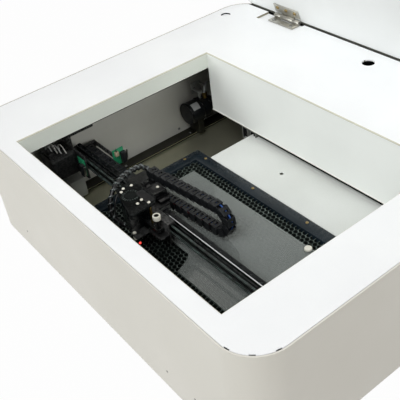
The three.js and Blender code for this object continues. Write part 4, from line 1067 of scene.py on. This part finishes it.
def narrowed(low, high, share):  # thinner front to rear about its own middle
    middle = Matrix.Translation((low + high) / 2)
    return middle @ Matrix.Diagonal((1, share, 1, 1)) @ middle.inverted()


beltShape = {"tooth": 1.0, "tall": 0.7, "step": 3, "inset": 1.4, "clear": 10, "narrow": 0.62}


def toothedBelt(source, name, body, material, along, share):  # along is 0 for X and 1 for Y
    shape = beltShape
    belt = fromNode(source, name, 0.2)
    low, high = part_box(source)
    if along == 0:
        belt.data.transform(narrowed(low, high, shape["narrow"]))
    half, tall, step, inset = (shape[key] * mm for key in ("tooth", "tall", "step", "inset"))
    half /= 2
    spanLow, spanHigh = low[1 - along], high[1 - along]
    middle, wide = (spanLow + spanHigh) / 2, (spanHigh - spanLow) * share / 2
    start, end = low[along] + shape["clear"] * mm, high[along] - shape["clear"] * mm
    reach = (half, wide) if along == 0 else (wide, half)
    model = block("tooth", (-reach[0], -reach[1], 0), (reach[0], reach[1], tall))
    teeth = []
    for i in range(int((end - start) / step)):
        s = start + i * step
        for z in (low.z + inset, high.z - inset - tall):
            teeth.append(copyOf(model, Matrix.Translation((s, middle, z) if along == 0 else (middle, s, z))))
    drop([model])
    ready(joined([belt] + teeth, name), body, material)


def toothedBelts():
    toothedBelt("x_belt", "beamBelt", "gantry", beltLightAndShade, 0, 0.58)
    for side in ("left", "right"):
        toothedBelt("y_belt_" + side, "sideBelt" + side.capitalize(), "case", rubberBlack, 1, 0.94)


def beltMotorTrim():
    low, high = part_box("x_motor")
    front = low.y
    bodyTop = low.z + 42 * mm
    band = block("beltMotorBand", (low.x + 1.5 * mm, front + 2 * mm, bodyTop - 0.2 * mm),
                 (high.x - 1.5 * mm, high.y - 6 * mm, bodyTop + 0.5 * mm))
    ready(soften(band, 0.3), "gantry", blackAnodised)
    for index, (material, aside, deep, rise) in enumerate(
        ((clearNylon, -8, 10, 13), (whiteWire, -2, 15, 15), (clearNylon, 4, 19, 12), (whiteWire, 9, 25, 14))
    ):
        x = (low.x + high.x) / 2 + aside * mm
        y = front + deep * mm
        arch = [(-9, 0, 1), (-8, -1, 0.55 * rise), (-2, 0, rise), (5, 1, 0.8 * rise), (8, 2, 0.3 * rise), (9, 3, 1)]
        route = [Vector((x + a * mm, y + b * mm, bodyTop + c * mm)) for a, b, c in arch]
        ready(tube(f"motorLead_{index}", route, 1.0 * mm), "gantry", material)


switchShape = {"board": 1.6, "plugWidth": 6, "plugTall": 8, "plugDeep": 4}


def switchBoards():
    shape = switchShape
    for source, name, along in (("endstop_x", "switchBoardFront", 0), ("endstop_y", "switchBoardRear", 1)):
        low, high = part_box(source)
        board = fromNode(source, name, 0.2)
        ready(board, "gantry", greenBoard)
        thin = (shape["board"] + 0.1) * mm
        if along == 0:
            paintFaces(board, blackMoulded, lambda c, n: c.y < high.y - thin)
            root = Vector((low.x + 9 * mm, high.y - thin, high.z - 15 * mm))
            reach = Vector((shape["plugWidth"] * mm, -shape["plugDeep"] * mm, -shape["plugTall"] * mm))
        else:
            paintFaces(board, blackMoulded, lambda c, n: c.x > low.x + thin)
            root = Vector((low.x + thin, low.y + 3 * mm, high.z - 3 * mm))
            reach = Vector((shape["plugDeep"] * mm, shape["plugWidth"] * mm, -shape["plugTall"] * mm))
        corner = root + reach
        plug = block(name + "_plug", tuple(map(min, root, corner)), tuple(map(max, root, corner)))
        sunk(plug, lambda c, n: n.z > 0.9, 0.0008, (0, 0, -0.004))
        ready(soften(plug, 0.2), "gantry", tanPlug)
        middle = (root + corner) / 2
        drape = 1.0 if along == 0 else 0.3
        hang = [(0, 0, 2), (-2 * drape, 0, 8), (-12 * drape, 2, 6), (-24 * drape, 4, -6), (-30 * drape, 5, -18)]
        lead = [middle + Vector(step) * mm for step in hang]
        ready(tube(name + "_lead", lead, 0.9 * mm), "gantry", blackWire)


# the cable chain, one link repeated along its line, in three parts

chainLine = {"start": -256, "bend": 45, "end": -82, "radius": 20.5, "pitch": 14, "y": -124, "straight": -160,
             "drift": 0.125, "low": 92.6, "sag": 4.6, "shelf": -60}
linkShape = {"halfWidth": 7.4, "halfHeight": 6.9, "cheek": 1.5, "cheekHalf": 5.4, "shift": 3.4, "bar": 6.3,
             "barThick": 1.5, "corner": 4.4, "studAt": 5.2, "studRadius": 2.3}


def chainSpot(distance):
    line = chainLine
    lower = line["bend"] - line["start"]
    arc = math.pi * line["radius"]
    high = line["low"] - line["sag"] + 2 * line["radius"]
    if distance < lower:
        x = line["start"] + distance
        free = max(0, (x - line["shelf"]) / (line["bend"] - line["shelf"]))
        z, angle = line["low"] - line["sag"] * free, 0
    elif distance < lower + arc:
        angle = (distance - lower) / line["radius"]
        x = line["bend"] + line["radius"] * math.sin(angle)
        z = high - line["radius"] - line["radius"] * math.cos(angle)
    else:
        x, z, angle = line["bend"] - (distance - lower - arc), high, math.pi
    y = line["y"] + max(0, x - line["straight"]) * line["drift"]
    return at(x, y, z), angle


def chainLink():
    shape = linkShape
    w, h, t = shape["halfWidth"], shape["halfHeight"], shape["cheek"]
    half, shift, studAt = shape["cheekHalf"], shape["shift"], shape["studAt"] * mm
    parts = []
    for side in (-1, 1):
        for x, inset in ((shift, 0.0), (-shift, t * 0.9)):  # outer half, and inner half under the next link
            outer = side * (w - inset)
            lo, hi = sorted((outer, outer - side * t))
            cheek = block("cheek", ((x - half) * mm, lo * mm, -h * 0.9 * mm), ((x + half) * mm, hi * mm, h * 0.9 * mm))
            bevelled(cheek, lambda a, b: abs(a.y - b.y) > 0.001, shape["corner"] * mm, 4)
            parts.append(cheek)
        ends = (studAt, side * (w - t) * mm, 0), (studAt, side * (w + 0.1) * mm, 0)
        parts.append(rod("stud", *ends, shape["studRadius"] * mm, 12))
    for side in (-1, 1):
        z0, z1 = sorted((side * h, side * (h - shape["barThick"])))
        reach, wide = shape["bar"] * mm, (w - 0.2) * mm
        bar = block("bar", (-reach, -wide, z0 * mm), (reach, wide, z1 * mm))
        slot = [block("slot", (-0.9 * mm, -2.4 * mm, (z0 - 1) * mm), (0.9 * mm, 3.6 * mm, (z1 + 1) * mm)),
                block("slot", (-3.2 * mm, 1.6 * mm, (z0 - 1) * mm), (0.9 * mm, 3.6 * mm, (z1 + 1) * mm))]
        parts.append(cut(bar, slot))
    return soften(joined(parts, "chainLink"), 0.35, 1, 40)


def cableChain():
    line = chainLine
    lower = line["bend"] - line["start"]
    arc = math.pi * line["radius"]
    length = lower + arc + line["bend"] - line["end"]
    count = int(length / line["pitch"])
    model = chainLink()
    groups = {"Lower": [], "Bend": [], "Upper": []}
    for i in range(count + 1):
        distance = i * length / count
        place, angle = chainSpot(distance)
        matrix = Matrix.Translation(place) @ Matrix.Rotation(-angle, 4, "Y")
        part = "Lower" if distance < lower - 1 else "Bend" if distance < lower + arc + 1 else "Upper"
        groups[part].append(copyOf(model, matrix))
    drop([model])
    spans = {"Lower": (0, lower), "Bend": (lower, lower + arc), "Upper": (lower + arc, length)}
    wires = ((redWire, -3.9, 3.2, "Red"), (blueWire, 1.0, 3.6, "Blue"), (blueWire, 2.0, -3.8, "Sky"),
             (blackWire, -1.6, -1.5, "Black"), (blackWire, 4.0, 2.0, "Grey"))
    for part, links in groups.items():
        chain = smooth(joined(links, "cableChain" + part), 35)
        pieces = [(chain, blackMoulded)]
        low, high = spans[part]
        for material, aside, lift, colour in wires:
            steps = max(6, int((high - low) / 9))
            route = []
            for i in range(steps + 1):
                place, angle = chainSpot(low + (high - low) * i / steps)
                wave = 0.6 * math.sin(i * 1.7 + aside)
                route.append(place + Vector((-lift * math.sin(angle), aside + wave, lift * math.cos(angle))) * mm)
            pieces.append((tube("chainWire" + colour + part, route, 1.1 * mm, steps=3, sides=6), material))
        for piece, material in pieces:
            painted(piece, material)
            followChain(piece, part)
    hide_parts("drag_chain")


def followChain(piece, part):  # each part keeps the place it was built in, baked into its mesh
    if part == "Lower":
        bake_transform(piece)
    elif part == "Bend":
        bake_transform(piece)
    else:
        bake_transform(piece)


gantryBeam()
railBar()
toothedBelts()
beltMotorTrim()
switchBoards()
cableChain()
print("gantry made")


# the carriage and the head it carries

coverShape = {"screws": ((-60.3, -165.2), (-62.4, -177.6), (-57.5, -184), (-22.7, -173.6), (-19.7, -182.2),
                         (-10.7, -169.8)),
              "screwRadius": 2.2, "slab": ((-42, -172), (-10, -159))}


def headTrim():
    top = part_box("head_cover")[1].z
    points = [at(x, y, top / mm) for x, y in coverShape["screws"]]
    screws("coverScrews", points, (0, 0, 1), coverShape["screwRadius"], "laser_head", ivoryNylon)
    low, high = (at(*place, top / mm) for place in coverShape["slab"])
    slab = block("coverSlab", low - Vector((0, 0, 0.2 * mm)), high + Vector((0, 0, 0.35 * mm)))
    bevelled(slab, lambda a, b: abs(a.z - b.z) > 0.0003, 0.004, 3)
    ready(soften(slab, 0.15), "laser_head", blackPaint)
    fanGuard(top)
    lamp = ball("signalLamp", at(-20.5, -190.6, 80), 1.7 * mm)
    ready(smooth(lamp, 60), "laser_head", redLamp)


guardShape = {"reach": 13.6, "thick": 1.4, "slots": 20, "slotFrom": 9.4, "slotTo": 12.8, "slotWide": 1.2,
              "disc": 8.2, "discRise": 0.6}


def fanGuard(top):  # a slotted round guard let into the cover, with a raised disc
    shape = guardShape
    low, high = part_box("head_fan")
    hub = Vector(((low.x + high.x) / 2, (low.y + high.y) / 2, top - 0.2 * mm))
    up = Vector((0, 0, mm))
    guard = rod("fanGuard", hub - up * shape["thick"], hub, shape["reach"] * mm, 64)
    slots, half = [], shape["slotWide"] / 2 * mm
    for i in range(shape["slots"]):
        turn = Matrix.Translation(hub) @ Matrix.Rotation(2 * math.pi * i / shape["slots"], 4, "Z")
        slot = block("slot", (shape["slotFrom"] * mm, -half, -0.005), (shape["slotTo"] * mm, half, 0.005))
        slot.data.transform(turn)
        slots.append(slot)
    cut(guard, [joined(slots, "slots")])
    disc = rod("disc", hub - up * 0.2, hub + up * shape["discRise"], shape["disc"] * mm, 48)
    sunk(disc, lambda c, n: n.z > 0.9, 0.0012, (0, 0, -0.0003))
    whole = joined([soften(guard, 0.15, 1), soften(disc, 0.1, 1)], "fanGuard")
    ready(whole, "laser_head", discGloss)
    inner, outer = (shape["slotFrom"] - 0.3) * mm, (shape["slotTo"] + 0.3) * mm
    paintFaces(whole, slotGlint, lambda c, n: abs(n.z) < 0.5 and inner < math.hypot(c.x - hub.x, c.y - hub.y) < outer)


def carriageTop():  # the covered block behind the head, a low side plate, and a white pin below
    tall = block("slideCover", at(-60, -148, 118.9), at(-36, -124, 131))
    sunk(tall, lambda c, n: n.z > 0.9, 0.0022, (0, 0, -0.0016))
    step = block("step", at(-36.2, -144, 118.9), at(-24, -128, 124))
    flap = block("flap", at(-88, -136, 118.9), at(-62, -118, 121))
    whole = joined([soften(tall, 0.9), soften(step, 0.7), soften(flap, 0.5)], "slideCover")
    ready(whole, "carriage", blackGloss)
    screws("slideCoverScrew", [at(-50, -130, 129.4)], (0, 0, 1), 2.2, "carriage", ivoryNylon)
    screws("flapScrews", [at(-84, -132, 121), at(-67, -122, 121)], (0, 0, 1), 1.6, "carriage", darkSteel, socketHead)
    side = block("focusBoard", at(-24, -199.5, 99), at(-8, -176.5, 101))
    ready(soften(side), "laser_head", blackPaint)
    sensor = rod("sensorPin", at(-21.5, -195.5, 90), at(-21.5, -195.5, 103), 2.8 * mm, 24)
    bevelled(sensor, lambda a, b: min(a.z, b.z) > 102 * mm, 0.0018, 3)
    ready(smooth(sensor, 50), "laser_head", ivoryNylon)


# the wrapped lead: a smooth core with a spiral wrap, on one line from the chain's end to the head

leadLine = {"points": ((-84, -114.5, 130), (-92, -116, 132), (-98, -121, 136), (-97, -132, 141), (-91, -148, 145),
                       (-86, -162, 147), (-80, -174, 147), (-75.5, -184, 145), (-73, -192, 138), (-70, -198, 130),
                       (-66, -202, 120), (-61, -202, 110), (-55, -198, 102), (-50, -194.5, 97)),
            "core": 3.4, "wrap": 1.4, "turn": 10.0, "steps": 90}


def onLine(points, share):  # a smooth line through the points
    last = len(points) - 1
    spot = min(share * last, last - 1e-6)
    i = int(spot)
    t = spot - i
    a, b, c, d = (points[max(0, min(last, i + k))] for k in (-1, 0, 1, 2))
    return 0.5 * (2 * b + (c - a) * t + (2 * a - 5 * b + 4 * c - d) * t * t + (3 * b - a - 3 * c + d) * t ** 3)


def wrappedLead():
    points = [at(*p) for p in leadLine["points"]]
    steps = leadLine["steps"]
    line = [onLine(points, i / steps) for i in range(steps + 1)]
    core = tube("leadCore", line[::3], leadLine["core"] * mm, steps=4, sides=12)
    spiral, travelled = [], 0.0
    side = Vector((0, 0, 1))
    for i in range(steps):
        here, there = line[i], line[i + 1]
        along = (there - here).normalized()
        side = (side - along * side.dot(along)).normalized()
        other = along.cross(side)
        for k in range(3):
            place = here.lerp(there, k / 3)
            angle = 2 * math.pi * travelled / (leadLine["turn"] * mm)
            spiral.append(place + (side * math.cos(angle) + other * math.sin(angle)) * leadLine["core"] * mm)
            travelled += (there - here).length / 3
    wrap = tube("leadWrap", spiral, leadLine["wrap"] * mm, steps=2, sides=6)
    for piece, material in ((core, blackWire), (wrap, wrapFilmAndSheen)):
        painted(piece, material)
        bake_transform(piece)
    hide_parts("wire_bundle")
    thin = [p + Vector((7 * mm, 3 * mm, -3 * mm)) for p in points[7:]]
    ready(tube("thinLead", thin, 1.3 * mm), "laser_head", blackWire)


headTrim()
carriageTop()
wrappedLead()
print("head made")


# pump, electronics and rear fittings

pumpShape = {"x": -270, "z": 61, "labelFrom": 86, "labelTo": 101, "labelRadius": 20.15, "bandRadius": 20.1,
             "bands": (81.5, 108, 123), "footTop": 44}


def pumpUnit():
    shape = pumpShape
    x, z = shape["x"], shape["z"]
    pump = ready(fromNode("air_pump", "airPump", 0.8, 3), "case", blackMoulded)
    ends = at(x, shape["labelFrom"], z), at(x, shape["labelTo"], z)
    label = rod("pumpLabel", *ends, shape["labelRadius"] * mm, 64, "NOTHING")
    aim = Vector((0.6, 0, 0.8))
    deleted(label, lambda c, n: n.dot(aim) < 0.93)
    walled(label, 0.25, 1)
    # the label carries painted shade
    ready(smooth(label, 60), "case", labelInShade)
    bands = [hoop("band", at(x, y, z), shape["bandRadius"] * mm, 0.9 * mm, 48) for y in shape["bands"]]
    ready(smooth(joined(bands, "pumpBands"), 60), "case", blackGloss)
    hose = [at(-270, 146, 66), at(-270, 156, 68), at(-272, 164, 80), at(-276, 166, 100), at(-279, 160, 120)]
    ready(tube("pumpHose", hose, 3.4 * mm, sides=12), "case", clearNylon)
    paintFaces(pump, flangeSteel, lambda c, n: c.z < shape["footTop"] * mm)
    corners = (((-289.5, 110, 93), (-262, 117, 95.5)), ((-289.5, 126, 99), (-270, 131, 101)),
               ((-289.5, 110, 84), (-287.5, 131, 104)), ((-272, 112, 70), (-268, 116, 94)))
    stays = [soften(block("stay", at(*low), at(*high)), 0.5) for low, high in corners]
    ready(joined(stays, "pumpStays"), "case", greyCase)
    tap = rod("pumpTap", at(-266, 122, 79), at(-266, 122, 90), 4.5 * mm, 24)
    ready(soften(tap, 0.8), "case", brassTurned)
    loop = [at(-266, 122, 88), at(-270, 127, 97), at(-276, 136, 100), at(-282, 146, 94), at(-284, 156, 84)]
    ready(tube("pumpLoop", loop, 2.6 * mm, sides=12), "case", clearNylon)


def boardParts():
    board = ready(fromNode("control_board", "controlBoard", 0.2), "case", greenBoard)
    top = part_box("control_board")[0].z + 12.5 * mm
    paintFaces(board, blackMoulded, lambda c, n: c.z > top)


def rearFittings():
    inlet = ready(fromNode("power_inlet", "powerInlet", 0.4), "case", blackMoulded)
    low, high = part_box("power_inlet")
    middle = (low + high) / 2
    paintFaces(inlet, brassTurned, lambda c, n: abs(c.x - middle.x) < 9 * mm and abs(c.z - middle.z) < 3 * mm
               and low.y + 2.6 * mm < c.y < high.y - 3 * mm)
    ready(fromNode("power_switch", "powerSwitch", 0.4), "case", blackMoulded)
    x, z, radius = shellShape["outlet"]
    centre = at(x, 281.2, z)
    wires = [hoop("guard", centre, r * mm, 0.8 * mm, 56) for r in (10, 20, 30, 40)]
    for turn in (0, 60, 120):
        reach = Vector((math.cos(math.radians(turn)), 0, math.sin(math.radians(turn)))) * (radius - 0.5) * mm
        wires.append(rod("guardBar", centre - reach, centre + reach, 0.8 * mm, sides=10))
    ready(smooth(joined(wires, "outletGuard"), 60), "case", steelTurned)


pumpUnit()
boardParts()
rearFittings()
print("electrics made")
drop([crossHead, socketHead])


# floor, light and camera

studio = {"floorTone": (156, 154, 150), "otherTone": (144, 142, 138), "floorGlow": 0.98, "sky": (1.0, 0.985, 0.96, 1.0),
          "skyLevel": 0.26}
lamps = {"keyLamp": ((1.45, -2.8, 4.3), (0, 0, 0.2), 3.2, 177.0, (0.97, 0.985, 1.0)),
         "rightLamp": ((3.2, 0.4, 1.2), (0, 0, 0.1), 1.2, 25.0, (1.0, 0.99, 0.97)),
         "frontLamp": ((-1.6, -3.8, 1.4), (0, 0.1, 0.3), 1.8, 60.0, (0.98, 1.0, 0.985)),
         "sideLamp": ((-1.4, 0.2, 2.4), (0, 0, 0.2), 1.8, 9.0, (1.0, 0.97, 0.92))}


def layFloor():
    floor = primitive("plane", "studioFloor", size=14)
    material, tree, shader, place = newMaterial("paleFloor")
    seen = node(tree, "ShaderNodeLightPath").outputs
    rays = mathNode(tree, "ADD", seen["Is Camera Ray"], seen["Is Glossy Ray"], clamp=True)
    rays = mathNode(tree, "ADD", rays, seen["Is Transmission Ray"], clamp=True)
    glow = node(tree, "ShaderNodeEmission", {"Color": white, "Strength": 1.0})
    tones = mixColour(tree, noise(tree, place, 1.5), linear(studio["floorTone"]), linear(studio["otherTone"]))
    feed(shader, {"Base Color": tones, "Roughness": 0.9, "Specular IOR Level": 0.1})
    share = mathNode(tree, "MULTIPLY", rays, studio["floorGlow"])
    blend = node(tree, "ShaderNodeMixShader", {0: share, 1: shader.outputs[0], 2: glow.outputs[0]})
    feed(tree.nodes["Material Output"], {"Surface": blend.outputs[0]})
    floor.data.materials.append(material)


def lightSky():
    world = bpy.data.worlds.new("studioSky")
    bpy.context.scene.world = world
    world.use_nodes = True
    tree = world.node_tree
    back = feed(tree.nodes["Background"], {"Color": studio["sky"], "Strength": studio["skyLevel"]})
    front = node(tree, "ShaderNodeBackground", {"Color": white, "Strength": 1.0})
    seen = node(tree, "ShaderNodeLightPath").outputs
    rays = mathNode(tree, "ADD", seen["Is Camera Ray"], seen["Is Transmission Ray"], clamp=True)
    blend = node(tree, "ShaderNodeMixShader", {0: rays, 1: back.outputs[0], 2: front.outputs[0]})
    feed(tree.nodes["World Output"], {"Surface": blend.outputs[0]})


def hangLamp(name, place, aim, size, power, tint):
    lamp = bpy.data.lights.new(name, "AREA")
    lamp.shape = "SQUARE"
    lamp.size = size
    lamp.energy = power
    lamp.color = tint
    holder = newObject(name, lamp)
    holder.location = place
    holder.rotation_euler = (Vector(aim) - Vector(place)).to_track_quat("-Z", "Y").to_euler()


cameraView = {"lens": 64.9, "place": (0.6736, -0.5365, 0.740), "right": (0.6153, 0.7803, -0.1120),
              "up": (-0.4311, 0.4520, 0.7809)}


def setCamera():
    lens = bpy.data.cameras.new("viewCamera")
    lens.lens = cameraView["lens"]
    lens.sensor_width = 36
    lens.clip_start = 0.02
    camera = newObject("viewCamera", lens)
    right, up = Vector(cameraView["right"]), Vector(cameraView["up"])
    turn = Matrix((right, up, right.cross(up))).transposed().to_4x4()
    camera.matrix_world = Matrix.Translation(cameraView["place"]) @ turn
    bpy.context.scene.camera = camera


layFloor()
lightSky()
for lampName, lampSettings in lamps.items():
    hangLamp(lampName, *lampSettings)
setCamera()
bpy.context.scene.view_settings.view_transform = "Standard"
print("scene ready")
